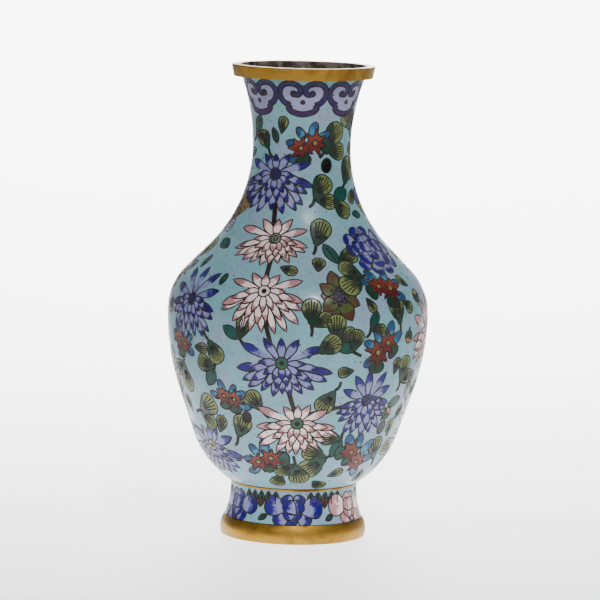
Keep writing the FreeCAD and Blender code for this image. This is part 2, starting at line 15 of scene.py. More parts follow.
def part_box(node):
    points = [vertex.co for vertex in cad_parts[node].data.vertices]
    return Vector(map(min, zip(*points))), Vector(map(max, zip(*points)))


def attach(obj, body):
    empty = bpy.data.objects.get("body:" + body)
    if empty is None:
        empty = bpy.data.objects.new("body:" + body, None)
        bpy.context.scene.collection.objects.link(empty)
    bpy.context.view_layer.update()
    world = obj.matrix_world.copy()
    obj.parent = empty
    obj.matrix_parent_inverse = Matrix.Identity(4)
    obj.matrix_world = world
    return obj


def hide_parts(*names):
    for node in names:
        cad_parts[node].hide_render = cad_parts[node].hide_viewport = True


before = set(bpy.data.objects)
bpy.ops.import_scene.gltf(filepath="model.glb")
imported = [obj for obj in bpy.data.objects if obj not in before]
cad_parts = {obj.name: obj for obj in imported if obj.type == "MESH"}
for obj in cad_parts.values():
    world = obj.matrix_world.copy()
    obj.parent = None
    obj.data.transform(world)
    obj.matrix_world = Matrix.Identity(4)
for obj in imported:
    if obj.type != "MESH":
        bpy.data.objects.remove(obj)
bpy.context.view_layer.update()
random.seed(29)
MM = 0.001


# ---- the skin of the vase, read from the copper under it ----

def node_mesh(name):
    """Corner points of a CAD node in millimetres, and the normals and corners of its faces."""
    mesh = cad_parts[name].data
    points = np.empty(len(mesh.vertices) * 3)
    mesh.vertices.foreach_get("co", points)
    return points.reshape(-1, 3) / MM, mesh.polygons


def outer_curve(name):
    """Height and radius of the rings on the outer side of a turned CAD node."""
    points, faces = node_mesh(name)
    radius = np.hypot(points[:, 0], points[:, 1])
    kept = set()
    for face in faces:
        middle = np.mean([points[i] for i in face.vertices], axis=0)
        outward = (face.normal[0] * middle[0] + face.normal[1] * middle[1]) / np.hypot(middle[0], middle[1])
        if outward > OUTWARD:
            kept.update(face.vertices)
    return [(points[i, 2], radius[i]) for i in kept]


def widest(name):
    points, _ = node_mesh(name)
    return np.hypot(points[:, 0], points[:, 1]).max()


def span(name):
    """Lowest and highest point of a CAD node."""
    low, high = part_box(name)
    return low.z / MM, high.z / MM


SUNK = 0.07
JOINT_REACH = 1.0
JOINT_STEP = 0.5
RING_GAP = 0.6
OUTWARD = 0.3
CURVE_SAMPLES = 2400
SKIN_SAMPLES = 3000
SMOOTHED_OVER = 61
SPARE = 0.5
enamel_depth = widest("body_ground_enamel") - widest("belly_copper")


class Skin:
    """The enamel surface over some copper nodes, walked by its length from the bottom."""

    def __init__(self, nodes, low, high):
        rings = []
        for name in nodes:
            others = [ring for other in nodes if other != name for ring in outer_curve(other)]
            for z, r in outer_curve(name):
                if not any(abs(z - z2) < JOINT_REACH and r2 - r > JOINT_STEP for z2, r2 in others):
                    rings.append((round(z, 2), round(r, 3)))
        rings = sorted(set(rings))
        tidy = [rings[0]]
        for z, r in rings[1:]:
            if z - tidy[-1][0] > RING_GAP:
                tidy.append((z, r))
        z_rings = np.array([z for z, _ in tidy])
        r_rings = np.array([r for _, r in tidy])
        slope = np.gradient(r_rings, z_rings)
        z = np.linspace(z_rings[0], z_rings[-1], CURVE_SAMPLES)
        k = np.clip(np.searchsorted(z_rings, z) - 1, 0, len(z_rings) - 2)
        gap = z_rings[k + 1] - z_rings[k]
        t = (z - z_rings[k]) / gap
        r = (r_rings[k] * (2 * t ** 3 - 3 * t ** 2 + 1) + slope[k] * gap * (t ** 3 - 2 * t ** 2 + t)
             + r_rings[k + 1] * (3 * t ** 2 - 2 * t ** 3) + slope[k + 1] * gap * (t ** 3 - t ** 2))
        tilt = np.gradient(r, z)
        norm = np.hypot(1, tilt)
        lift = enamel_depth - SUNK
        r_out = r + lift / norm
        z_out = z - lift * tilt / norm
        inside = (z_out >= low - SPARE) & (z_out <= high + SPARE)
        r_out, z_out = r_out[inside], z_out[inside]
        steps = np.hypot(np.diff(r_out), np.diff(z_out))
        length = np.concatenate([[0], np.cumsum(steps)])
        start = np.interp(low, z_out, length)
        end = np.interp(high, z_out, length)
        self.s = np.linspace(0, end - start, SKIN_SAMPLES)
        self.r = np.interp(self.s + start, length, r_out)
        self.z = np.interp(self.s + start, length, z_out)
        kernel = np.hanning(SMOOTHED_OVER) / np.hanning(SMOOTHED_OVER).sum()
        padded = np.pad(np.gradient(self.r, self.s), SMOOTHED_OVER // 2, mode="edge")
        self.lean = np.convolve(padded, kernel, mode="valid")
        self.length = self.s[-1]

    def at_height(self, height):
        return float(np.interp(height, self.z, self.s))

    def surface(self, flat, depth=0.0):
        """Points of the vase for flat points (turn times BELT, length), sunk by a depth."""
        s = np.clip(flat[:, 1], 0, self.length)
        turn = flat[:, 0] / BELT
        r = np.interp(s, self.s, self.r)
        z = np.interp(s, self.s, self.z)
        outward = self.outward(flat)
        across = np.stack([np.sin(turn), -np.cos(turn), np.zeros_like(turn)], axis=1)
        place = across * r[:, None]
        place[:, 2] = z
        return place - outward * np.reshape(depth, (-1, 1))

    def outward(self, flat):
        s = np.clip(flat[:, 1], 0, self.length)
        turn = flat[:, 0] / BELT
        lean = np.interp(s, self.s, self.lean)
        level = np.sqrt(np.clip(1 - lean ** 2, 0.01, 1))
        return np.stack([np.sin(turn) * level, -np.cos(turn) * level, -lean], axis=1)


BELT = 55.0
TURN = 2 * math.pi * BELT
NEARLY_STRAIGHT = 0.03
body_low = span("waist_band")[1]
body_high = span("mouth_ring")[0]
foot_low = span("foot_ring")[1]
foot_high = span("waist_band")[0]
body_skin = Skin(["belly_copper", "shoulder_copper", "neck_copper"], body_low, body_high)
foot_skin = Skin(["foot_copper"], foot_low, foot_high)


class Place:
    """Where a motif sits: it lays flat drawings on the skin like a sticker on a cone."""

    def __init__(self, skin, angle, height):
        self.skin = skin
        self.x = math.radians(angle) * BELT
        self.s = skin.at_height(height)
        self.r = float(np.interp(self.s, skin.s, skin.r))
        self.taper = -float(np.interp(self.s, skin.s, skin.lean))

    def lay(self, drawing):
        """Flat drawing points (right, up) to points of the unrolled skin."""
        drawing = np.asarray(drawing, float)
        x, y = drawing[:, 0], drawing[:, 1]
        if abs(self.taper) < NEARLY_STRAIGHT:
            return np.stack([self.x + x / self.r * BELT, self.s + y], axis=1)
        apex = self.r / abs(self.taper)
        up = y if self.taper > 0 else -y
        turn = np.arctan2(x, apex - up) / abs(self.taper)
        rise = apex - np.hypot(x, apex - up)
        rise = rise if self.taper > 0 else -rise
        return np.stack([self.x + turn * BELT, self.s + rise], axis=1)

    def beside(self, across, up):
        """A place some way to the right of this one and above it."""
        height = float(np.interp(self.s + up, self.skin.s, self.skin.z))
        return Place(self.skin, math.degrees(self.x / BELT + across / self.r), height)


# ---- the places of the motifs, read from the enamel solids of the CAD ----

def solids(name):
    """The points of each separate solid of a CAD node, in millimetres."""
    points, _ = node_mesh(name)
    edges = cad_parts[name].data.edges
    ends = np.empty(len(edges) * 2, dtype=np.int64)
    edges.foreach_get("vertices", ends)
    _, corner = np.unique(np.round(points, 2), axis=0, return_inverse=True)
    corner = corner.reshape(-1)
    ends = corner[ends].reshape(-1, 2)
    label = np.arange(corner.max() + 1)
    settled = False
    while not settled:
        before = label.copy()
        lowest = np.minimum(label[ends[:, 0]], label[ends[:, 1]])
        np.minimum.at(label, ends[:, 0], lowest)
        np.minimum.at(label, ends[:, 1], lowest)
        label = label[label]
        settled = bool((label == before).all())
    owner = label[corner]
    return [points[owner == number] for number in np.unique(owner)]


class Spot:
    """Where some CAD points lie on a skin: their middle, and how they spread about it."""

    def __init__(self, skin, points, middle=None):
        self.skin = skin
        self.points = points
        turn = np.arctan2(points[:, 0], -points[:, 1])
        turn = turn[0] + (turn - turn[0] + math.pi) % (2 * math.pi) - math.pi
        rise = np.interp(points[:, 2], skin.z, skin.s)
        self.turn = (turn.min() + turn.max()) / 2
        self.s = (rise.min() + rise.max()) / 2
        if middle is not None:
            self.turn = middle.turn
            self.s = middle.s
            turn = self.turn + (turn - self.turn + math.pi) % (2 * math.pi) - math.pi
        self.radius = float(np.interp(self.s, skin.s, skin.r))
        self.across = (turn - self.turn) * self.radius
        self.up = rise - self.s

    def place(self):
        return Place(self.skin, math.degrees(self.turn), float(np.interp(self.s, self.skin.s, self.skin.z)))

    def reaches(self, scale):
        """How far the points reach to the right, up, to the left and down, times a scale."""
        right, left = self.across.max(), -self.across.min()
        up, down = self.up.max(), -self.up.min()
        return right * scale, up * scale, left * scale, down * scale

    def size(self):
        return max(np.ptp(self.across), np.ptp(self.up))

    def long_side(self):
        """Length and width along the longest direction, and that direction."""
        flat = np.stack([self.across, self.up], axis=1)
        _, axes = np.linalg.eigh(np.cov(flat.T))
        length = np.ptp(flat @ axes[:, 1])
        width = np.ptp(flat @ axes[:, 0])
        return length, width, math.degrees(math.atan2(axes[1, 1], axes[0, 1]))

    def offset(self, other):
        """From this spot to another: how far to the right and up."""
        turn = (other.turn - self.turn + math.pi) % (2 * math.pi) - math.pi
        return turn * self.radius, other.s - self.s

    def distance(self, other):
        return math.hypot(*self.offset(other))

    def side(self):
        return "front" if math.cos(self.turn) > 0 else "back"


def spots(skin, name):
    """A spot for each solid of a CAD node, the highest first."""
    found = [Spot(skin, points) for points in solids(name)]
    return sorted(found, key=lambda spot: (-round(spot.s), round(math.cos(spot.turn), 1), spot.turn))


def bunches(skin, name, reach):
    """A spot for each bunch of solids that lie within a reach of one another."""
    groups = []
    for spot in spots(skin, name):
        near = [group for group in groups if any(spot.distance(other) < reach for other in group)]
        joined = [spot] + [member for group in near for member in group]
        groups = [group for group in groups if all(group is not other for other in near)]
        groups.append(joined)
    return [hub_spot(skin, group) for group in groups]


def hub_spot(skin, group):
    """The spot of a bunch, with the solid nearest to all the others as its middle."""
    hub = min(group, key=lambda spot: sum(spot.distance(other) for other in group))
    return Spot(skin, np.vstack([spot.points for spot in group]), hub)


# ---- colours ----

def tint(red, green, blue):
    """A screen colour as the linear values that materials use."""
    return tuple(c / 3294.6 if c < 10.3 else ((c / 255 + 0.055) / 1.055) ** 2.4 for c in (red, green, blue))


def vary(colour, amount):
    """The colour a little lighter or darker, as each firing of enamel comes out."""
    shift = 1 + random.uniform(-amount, amount)
    return tuple(min(1, c * shift) for c in colour)


LILAC_WHITE = tint(126, 128, 174)
DEEP_BLUE = tint(24, 12, 104)
PALE_PINK = tint(230, 206, 202)
DUSTY_PINK = tint(170, 118, 120)
LEAF_GREEN = tint(17, 52, 33)
LEAF_YELLOW = tint(108, 120, 66)
TEAL = tint(10, 66, 58)
STEM_BROWN = tint(32, 18, 17)
BLOSSOM_RED = tint(90, 20, 15)
ORANGE = tint(116, 46, 28)
RUST = tint(96, 50, 28)
BROWN = tint(80, 54, 32)
OCHRE = tint(136, 112, 56)
TURQUOISE = tint(26, 70, 112)
PALE_TURQUOISE = tint(62, 118, 148)
BLACK = tint(5, 5, 11)
OLIVE = tint(70, 80, 42)
INDIGO = tint(38, 26, 84)
PURPLE = tint(54, 28, 76)
VIOLET_GREY = tint(66, 60, 80)
FIELD_GREY = tint(142, 142, 176)


# ---- the drawing of one motif: cells between wires, and loose wires ----

def ring_area(points):
    """Area inside a closed line, negative if it runs clockwise."""
    x, y = points[:, 0], points[:, 1]
    return 0.5 * float((x * np.roll(y, -1) - np.roll(x, -1) * y).sum())


class Cell:
    def __init__(self, piece, flat, rank, near, far, start, end):
        self.piece = piece
        self.flat = flat
        self.rank = rank
        self.near = near
        self.far = far
        self.start = start
        self.end = end


class Sheet:
    """All the cells and loose wires of one skin."""

    def __init__(self, skin):
        self.skin = skin
        self.cells = []
        self.veins = []
        self.layer = 0.0

    def cell(self, piece, place, drawing, rank, near, far=None, along=((0, 0), (0, 1))):
        flat = place.lay(drawing)
        if ring_area(flat) < 0:
            flat = flat[::-1]
        ends = place.lay(along)
        far = near if far is None else far
        self.cells.append(Cell(piece, flat, self.layer + rank, near, far, ends[0], ends[1]))

    def vein(self, piece, place, drawing):
        self.veins.append((piece, place.lay(drawing)))


def turned(points, direction, start=(0.0, 0.0)):
    """Drawing points whose x runs along a direction from a start point."""
    points = np.asarray(points, float)
    c, s = math.cos(math.radians(direction)), math.sin(math.radians(direction))
    x = start[0] + points[:, 0] * c - points[:, 1] * s
    y = start[1] + points[:, 0] * s + points[:, 1] * c
    return np.stack([x, y], axis=1)


def out(reach, direction):
    """The point some way out from the origin."""
    return turned([(reach, 0)], direction)[0]


def between(a, b, c, d, t):
    """A point some share t of the way from b to c, on the smooth curve through all four."""
    bend = 2 * a - 5 * b + 4 * c - d
    twist = 3 * b - 3 * c + d - a
    return 0.5 * (2 * b + (c - a) * t + bend * t ** 2 + twist * t ** 3)


def smooth_loop(corners, per_side):
    """A smooth closed curve through the corners."""
    corners = np.asarray(corners, float)
    a, b, c, d = (np.roll(corners, shift, axis=0) for shift in (1, 0, -1, -2))
    rows = [between(a, b, c, d, i / per_side) for i in range(per_side)]
    return np.stack(rows, axis=1).reshape(-1, 2)


def smooth_line(corners, per_side):
    """A smooth open curve through the corners."""
    corners = np.asarray(corners, float)
    ends = np.vstack([2 * corners[0] - corners[1], corners, 2 * corners[-1] - corners[-2]])
    rows = []
    for k in range(len(corners) - 1):
        rows.extend(between(*ends[k:k + 4], i / per_side) for i in range(per_side))
    rows.append(corners[-1])
    return np.array(rows)


def strip(line, width, taper=1.0):
    """A ribbon of some width about a line, narrowing to its far end."""
    line = np.asarray(line, float)
    run = np.gradient(line, axis=0)
    run /= np.maximum(np.hypot(run[:, 0], run[:, 1]), 1e-6)[:, None]
    side = np.stack([-run[:, 1], run[:, 0]], axis=1)
    half = np.linspace(width / 2, width / 2 * taper, len(line))[:, None]
    return np.vstack([line + side * half, (line - side * half)[::-1]])


def ring(radius, steps, wobble=0.0):
    """A circle drawn by hand: a little uneven where there is a wobble."""
    angles = np.linspace(0, 2 * math.pi, steps, endpoint=False)
    phase = random.uniform(0, 6.28)
    ripple = np.sin(3 * angles + phase) + 0.6 * np.sin(5 * angles + 2 * phase)
    reach = radius * (1 + wobble * ripple)
    return np.stack([reach * np.cos(angles), reach * np.sin(angles)], axis=1)


PETAL_TIP = 6.4


def petal_shape(length, width):
    """A long petal along x that widens from its root and closes in a short full tip."""
    shoulder = max(length * 0.45, length - PETAL_TIP)
    closing_in = shoulder + (length - shoulder) * np.array([0.2, 0.4, 0.6, 0.78, 0.9, 1])
    x = np.concatenate([np.linspace(0, shoulder, 5), closing_in])
    widening = 0.16 + 0.84 * np.clip(x / shoulder, 0, 1) ** 0.8
    closing = 1 - np.clip((x - shoulder) / (length - shoulder), 0, 1) ** 2.1
    half = width / 2 * widening * closing
    upper = np.stack([x, half], axis=1)
    lower = upper[::-1].copy()
    lower[:, 1] *= -1
    return np.vstack([upper, lower[1:]])


def paddle_shape(length, width):
    """A leaf along x that is broad and round at its far end."""
    half = width / 2
    return smooth_loop([(0, 0), (0.22 * length, 0.5 * half), (0.5 * length, 0.92 * half),
                        (0.76 * length, half), (0.95 * length, 0.6 * half), (length, 0),
                        (0.95 * length, -0.6 * half), (0.76 * length, -half),
                        (0.5 * length, -0.92 * half), (0.22 * length, -0.5 * half)], 2)


def lance_shape(length, width):
    """A plain leaf along x, pointed at both ends."""
    t = np.linspace(0, 1, 9)
    half = width / 2 * np.sin(np.pi * t) ** 0.75
    upper = np.stack([t * length, half], axis=1)
    lower = upper[::-1].copy()[1:-1]
    lower[:, 1] *= -1
    return np.vstack([upper, lower])


def oval(length, width):
    """An oval with its long side along x, centred."""
    angles = np.linspace(0, 2 * math.pi, 12, endpoint=False)
    return np.stack([length / 2 * np.cos(angles), width / 2 * np.sin(angles)], axis=1)


SQUARED = 2.7


def reach_towards(direction, reaches):
    """How far a flower reaches: a different, slightly squared, quarter ellipse on each side."""
    right, up, left, down = reaches
    c, s = math.cos(math.radians(direction)), math.sin(math.radians(direction))
    across = right if c > 0 else left
    along = up if s > 0 else down
    return (abs(c / across) ** SQUARED + abs(s / along) ** SQUARED) ** (-1 / SQUARED)


DISCS = {
    "blue": tint(38, 30, 90), "grey": tint(110, 114, 100), "white": tint(200, 190, 184),
    "green": tint(40, 84, 58), "yellow": tint(140, 124, 70),
}
DISC_RADIUS = 3.0
UPPER_RANK = 20
PETAL_ROWS = [
    # first direction, last direction, how many petals, share of the reach, petal width, rank
    (-12, 192, 7, 1.0, 4.2, UPPER_RANK),
    (203, 337, 9, 1.0, 3.8, 10),
    (192, 348, 8, 0.76, 3.8, 30),
    (180, 360, 7, 0.51, 3.7, 40),
]
UPPER_BLOTCH = 0.46
LOWER_BLOTCH = 3.3
BLOTCH_EDGE = 0.47


SHORTEST_PETAL = 3.6


def chrysanthemum(sheet, piece, place, reaches, colours, disc, turn):
    """A disc, one row of petals above it and three rows like scales below."""
    root_reach = DISC_RADIUS * 0.3
    for first, last, count, share, width, rank in PETAL_ROWS:
        upper = rank == UPPER_RANK
        for k in range(count):
            direction = turn + first + (last - first) * k / (count - 1) + random.uniform(-3, 3)
            reach = reach_towards(direction, reaches) * share * random.uniform(0.97, 1.12)
            reach = max(reach, DISC_RADIUS + SHORTEST_PETAL)
            wide = width * random.uniform(0.9, 1.1)
            shape = turned(petal_shape(reach - root_reach, wide), direction, out(root_reach, direction))
            blotch = UPPER_BLOTCH * (reach - DISC_RADIUS) if upper else LOWER_BLOTCH
            ends = turned([(reach - blotch / BLOTCH_EDGE, 0), (reach, 0)], direction)
            aside = abs(direction - turn - 90) if upper else abs((direction - turn) % 360 - 270)
            near, far = vary(colours[0], 0.1), vary(colours[1], 0.2)
            sheet.cell(piece, place, shape, rank - aside / 100, near, far, ends)
    sheet.cell(piece, place, ring(DISC_RADIUS, 18, 0.03), 60, vary(DISCS[disc], 0.05))
    if disc in ("white", "green", "yellow"):
        sheet.cell(piece, place, ring(DISC_RADIUS * 0.34, 10, 0.03), 61, BLACK)
    else:
        sweep = np.linspace(0, 3.6 * math.pi, 24)
        reach = DISC_RADIUS * 0.8 * sweep / sweep[-1]
        spiral = np.stack([reach * np.cos(sweep), reach * np.sin(sweep)], axis=1)
        sheet.vein(piece, place, spiral[3:])


SCALE_ROWS = [
    # share of the reach at which a row stands, how many petals, share of the reach that one fills, rank
    (0.78, 10, 0.46, 10), (0.48, 7, 0.46, 20), (0.18, 3, 0.44, 30),
]


FOOT_ROWS = [(0.62, 7, 0.66, 10), (0.22, 4, 0.62, 20)]


def scaled_flower(sheet, piece, place, reaches, colours, rows):
    """A round-petalled flower: rows of overlapping petals, each with a dark blotch at its outer end."""
    for stand, count, share, rank in rows:
        for k in range(count):
            direction = 90 + (k + 0.5) * 360 / count + random.uniform(-5, 5)
            reach = reach_towards(direction, reaches)
            height = reach * share * random.uniform(0.94, 1.06)
            middle = out(reach * stand, direction)
            width = height * random.uniform(0.95, 1.1)
            shape = turned(paddle_shape(height * 1.25, width), direction, out(-height * 0.7, direction))
            ends = turned([(-height * 0.64, 0), (height * 0.64, 0)], direction) + middle
            sheet.cell(piece, place, shape + middle, rank + math.sin(math.radians(direction)),
                       vary(colours[0], 0.08), vary(colours[1], 0.2), ends)


LEAF_SCALE = 1.12
WIDE_LEAF = 6
WIDE_STRIPES = (-0.66, -0.33, 0.0, 0.33, 0.66)
NARROW_STRIPES = (-0.45, 0.0, 0.45)


def striped_leaf(sheet, piece, place, length, width, direction):
    """Dark green by the stalk, pale at the broad end, with stripes of wire fanning to its rim."""
    length *= LEAF_SCALE
    width *= LEAF_SCALE
    shape = turned(paddle_shape(length, width), direction)
    ends = turned([(length * 0.04, 0), (length * 1.08, 0)], direction)
    sheet.cell(piece, place, shape, 4, vary(LEAF_GREEN, 0.15), vary(LEAF_YELLOW, 0.12), ends)
    for share in WIDE_STRIPES if width > WIDE_LEAF else NARROW_STRIPES:
        stripe = [(length * 0.3, share * width * 0.16), (length * 0.6, share * width * 0.36),
                  (length * (0.93 - 0.16 * abs(share)), share * width * 0.46)]
        sheet.vein(piece, place, turned(smooth_line(stripe, 2), direction))


def plain_leaf(sheet, piece, place, length, width, direction, near=TEAL, far=TEAL):
    """A pointed leaf with one wire along its middle."""
    shape = turned(lance_shape(length, width), direction)
    ends = turned([(0, 0), (length, 0)], direction)
    sheet.cell(piece, place, shape, 3, vary(near, 0.15), vary(far, 0.2), ends)
    sheet.vein(piece, place, turned([(length * 0.15, 0), (length * 0.8, 0)], direction))


FINGERS = 7


def red_body(sheet, piece, place, radius, away):
    """The ragged red middle of a blossom: fingers on all sides, an ochre spot, a dark cup below."""
    corners = []
    phase = random.uniform(0, 360)
    for k in range(FINGERS * 2):
        reach = radius * (1.0 if k % 2 == 0 else 0.55) * random.uniform(0.82, 1.18)
        corners.append(out(reach, phase + k * 180 / FINGERS))
    sheet.cell(piece, place, smooth_loop(corners, 3), 8, vary(BLOSSOM_RED, 0.15), vary(ORANGE, 0.2),
               ((0, -radius), (0, radius)))
    cup = turned(paddle_shape(radius * 1.1, radius * 1.2), away, out(radius * 0.25, away))
    sheet.cell(piece, place, cup, 7, vary(LEAF_GREEN, 0.15), vary(TEAL, 0.2))
    sheet.cell(piece, place, ring(radius * 0.2, 10), 10, vary(OCHRE, 0.1))


BLOSSOM_OVALS = 5
FAN_STEP = 44


def blossom(sheet, piece, place, radius, lean):
    """Two ragged red bodies in a fan of turquoise ovals, over dark cups."""
    for k in range(BLOSSOM_OVALS):
        direction = lean + (k - (BLOSSOM_OVALS - 1) / 2) * FAN_STEP + random.uniform(-8, 8)
        length = radius * random.uniform(0.95, 1.25)
        middle = out(radius * random.uniform(1.0, 1.25), direction)
        shape = turned(oval(length, length * 0.55), direction, middle)
        ends = turned([(-length * 0.6, 0), (length / 2, 0)], direction, middle)
        sheet.cell(piece, place, shape, 6, vary(PALE_TURQUOISE, 0.15), vary(TURQUOISE, 0.2), ends)
    for across in (-0.5, 0.5):
        shift = turned([(radius * 0.15, radius * across)], lean + random.uniform(-30, 30))[0]
        size = radius * random.uniform(0.75, 0.95)
        away = lean + 180 + random.uniform(-50, 50)
        red_body(sheet, piece, place.beside(shift[0], shift[1]), size, away)


def fruit(sheet, piece, place, length, width, direction):
    """A black oval fruit."""
    sheet.cell(piece, place, turned(oval(length, width), direction), 7, vary(BLACK, 0.1))


def bud(sheet, piece, place, radius, direction):
    """A round bud between two sepals."""
    shape = turned(ring(radius, 14, 0.03), direction)
    ends = turned([(-radius, 0), (radius * 1.4, 0)], direction)
    sheet.cell(piece, place, shape, 6, vary(RUST, 0.1), vary(OCHRE, 0.1), ends)
    root = out(-radius * 1.1, direction)
    for lean in (-38, 38):
        shape = turned(lance_shape(radius * 1.7, radius * 0.9), direction + lean, root)
        sheet.cell(piece, place, shape, 7, vary(LEAF_GREEN, 0.1))


def pomegranate(sheet, piece, place, reaches):
    """A brown many-pointed blossom about a spiky violet-grey middle."""
    for k in range(9):
        direction = 20 + k * 40 + random.uniform(-6, 6)
        reach = reach_towards(direction, reaches) * random.uniform(0.94, 1.04)
        sheet.cell(piece, place, turned(petal_shape(reach, 7.4), direction), 5 + k % 2,
                   vary(OLIVE, 0.1), vary(BROWN, 0.2), turned([(2, 0), (reach, 0)], direction))
    for k in range(8):
        spike = turned(lance_shape(3.4, 1.7), k * 45, out(1.6, k * 45))
        sheet.cell(piece, place, spike, 7, vary(VIOLET_GREY, 0.1))
    sheet.cell(piece, place, ring(2.6, 16, 0.03), 9, vary(VIOLET_GREY, 0.1))
    sheet.vein(piece, place, turned([(-1.6, 0), (1.6, 0)], 40))
    sheet.vein(piece, place, turned([(-1.6, 0), (1.6, 0)], 130))


FORE_WINGS = ((62, 1.0), (118, 1.0))
HIND_WINGS = ((8, 0.42), (172, 0.42))
WING_LANES = (-0.5, -0.15, 0.2, 0.55)


def butterfly(sheet, piece, place, size):
    """It flies downwards: two long striped wings, two ringed hind wings, a body and feelers."""
    for direction, share in FORE_WINGS:
        reach = size * share
        wide = size * 0.42
        sheet.cell(piece, place, turned(paddle_shape(reach, wide), direction), 5,
                   vary(BROWN, 0.1), vary(OCHRE, 0.1), turned([(0, 0), (reach, 0)], direction))
        for lane in WING_LANES:
            stripe = [(reach * 0.2, lane * wide * 0.3), (reach * 0.5, lane * wide * 0.6),
                      (reach * 0.78, lane * wide * 0.7)]
            sheet.vein(piece, place, turned(smooth_line(stripe, 3), direction))
        tip = turned(oval(size * 0.26, size * 0.36), direction, out(reach * 0.86, direction))
        sheet.cell(piece, place, tip, 6, vary(DEEP_BLUE, 0.1))
    for direction, share in HIND_WINGS:
        reach = size * share
        sheet.cell(piece, place, turned(paddle_shape(reach, size * 0.3), direction), 5,
                   vary(FIELD_GREY, 0.1), vary(FIELD_GREY, 0.1), turned([(0, 0), (reach, 0)], direction))
        spot = out(reach * 0.66, direction)
        sheet.cell(piece, place, turned(oval(size * 0.17, size * 0.13), direction, spot), 7, PALE_PINK)
        sheet.cell(piece, place, turned(oval(size * 0.07, size * 0.05), direction, spot), 8, BLACK)
    body = turned(lance_shape(size * 0.62, size * 0.12), 90, (0, -size * 0.2))
    sheet.cell(piece, place, body, 9, BLACK)
    for side in (-1, 1):
        feeler = [(0, -size * 0.16), (side * size * 0.06, -size * 0.34), (side * size * 0.16, -size * 0.46)]
        sheet.vein(piece, place, smooth_line(feeler, 4))


def stem(sheet, piece, place, corners, width):
    line = smooth_line(corners, 5)
    sheet.cell(piece, place, strip(line, width, 0.8), 0, vary(STEM_BROWN, 0.1))


LAPPET_SPREAD = (1.13, 1.06)
CURL = [(4.0, 2.2), (2.0, 1.9), (1.0, 3.9), (2.2, 6.2), (5.2, 7.1), (8.3, 6.3), (10.1, 3.6), (9.8, 0.4),
        (7.9, -2.2), (5.4, -3.2)]
HALF_LOBE = [(5.4, -3.2), (6.0, -4.6), (4.6, -6.2), (2.3, -7.0)]
LOBE = HALF_LOBE + [(0.0, -7.3)] + [(-x, y) for x, y in reversed(HALF_LOBE)]
BAND = 2.5
FIELD_STARTS = 12


def lappet(sheet, piece, place):
    """A cloud head hanging from the rim: a band that curls in at both sides round a grey field."""
    right = smooth_line(np.array(CURL) * LAPPET_SPREAD, 4)
    left = right[::-1] * (-1, 1)
    lobe = smooth_line(np.array(LOBE) * LAPPET_SPREAD, 4)
    field = np.vstack([right[FIELD_STARTS:], lobe[1:-1], left[:-FIELD_STARTS]])
    sheet.cell(piece, place, field, 5, vary(FIELD_GREY, 0.05))
    for line in (right, left[::-1]):
        sheet.cell(piece, place, strip(line, BAND), 8, vary(INDIGO, 0.08))
        sheet.cell(piece, place, ring(1.5, 12) + line[0], 10, vary(PURPLE, 0.08))
        sheet.cell(piece, place, ring(0.6, 8) + line[0], 11, vary(INDIGO, 0.08))
    sheet.cell(piece, place, strip(lobe, BAND), 9, vary(PURPLE, 0.08))
    sheet.cell(piece, place, ring(1.0, 8) + (0, -1.8), 12, vary(BLOSSOM_RED, 0.1))


# ---- the arrangement of all cells of a sheet, worked out in the unrolled skin ----

GRID = 2.4
GROUND = -1
LOWEST = -1e9
SMALLEST_AREA = 0.35
SMALLEST_GROUND = 1.6


def arrange(sheet):
    """Cuts the skin into triangles, each owned by the topmost cell over it or by the ground."""
    skin = sheet.skin
    half = TURN / 2
    rim = []
    columns = int(TURN / GRID)
    rows = max(2, int(skin.length / GRID))
    for i in range(columns):
        rim.append((-half + TURN * i / columns, 0))
    for j in range(rows):
        rim.append((half, skin.length * j / rows))
    for i in range(columns):
        rim.append((half - TURN * i / columns, skin.length))
    for j in range(rows):
        rim.append((-half, skin.length * (1 - j / rows)))
    points = [Vector(p) for p in rim]
    loops = [list(range(len(rim)))]
    owners = [GROUND]
    for index, cell in enumerate(sheet.cells):
        low, high = cell.flat[:, 0].min(), cell.flat[:, 0].max()
        for shift in (-TURN, 0, TURN):
            if high + shift < -half or low + shift > half:
                continue
            start = len(points)
            points.extend(Vector((x + shift, y)) for x, y in cell.flat)
            loops.append(list(range(start, start + len(cell.flat))))
            owners.append(index)
    for j in range(1, rows):
        for i in range(columns):
            x = -half + TURN * (i + (0.5 if j % 2 else 0.25)) / columns
            points.append(Vector((x, skin.length * j / rows + random.uniform(-0.1, 0.1))))
    verts, _, faces, _, _, sources = delaunay_2d_cdt(points, [], loops, 1, 1e-5)
    flat = np.array([(v.x, v.y) for v in verts])
    ranks = [LOWEST] + [sheet.cells[k].rank for k in owners[1:]]
    triangles = []
    owned = []
    for corners, over in zip(faces, sources):
        if 0 not in over:
            continue
        best = max(over, key=lambda f: ranks[f])
        triangles.append(corners)
        owned.append(owners[best])
    triangles = np.array(triangles)
    owned = np.array(owned)
    a, b, c = (flat[triangles[:, k]] for k in range(3))
    ratio = np.interp((a + b + c)[:, 1] / 3, skin.s, skin.r) / BELT
    first, second = b - a, c - a
    area = 0.5 * np.abs(first[:, 0] * second[:, 1] - first[:, 1] * second[:, 0]) * ratio
    neighbours = share_edges(triangles)
    owned = absorb_scraps(owned, area, neighbours)
    return flat, triangles, owned, neighbours


def share_edges(triangles):
    """For each triangle side, the triangle across it, or -1."""
    across = {}
    result = np.full(triangles.shape, -1)
    for t, corners in enumerate(triangles.tolist()):
        for k in range(3):
            a, b = corners[k], corners[(k + 1) % 3]
            key = (a, b) if a < b else (b, a)
            if key in across:
                other, side = across[key]
                result[t, k] = other
                result[other, side] = t
            else:
                across[key] = (t, k)
    return result


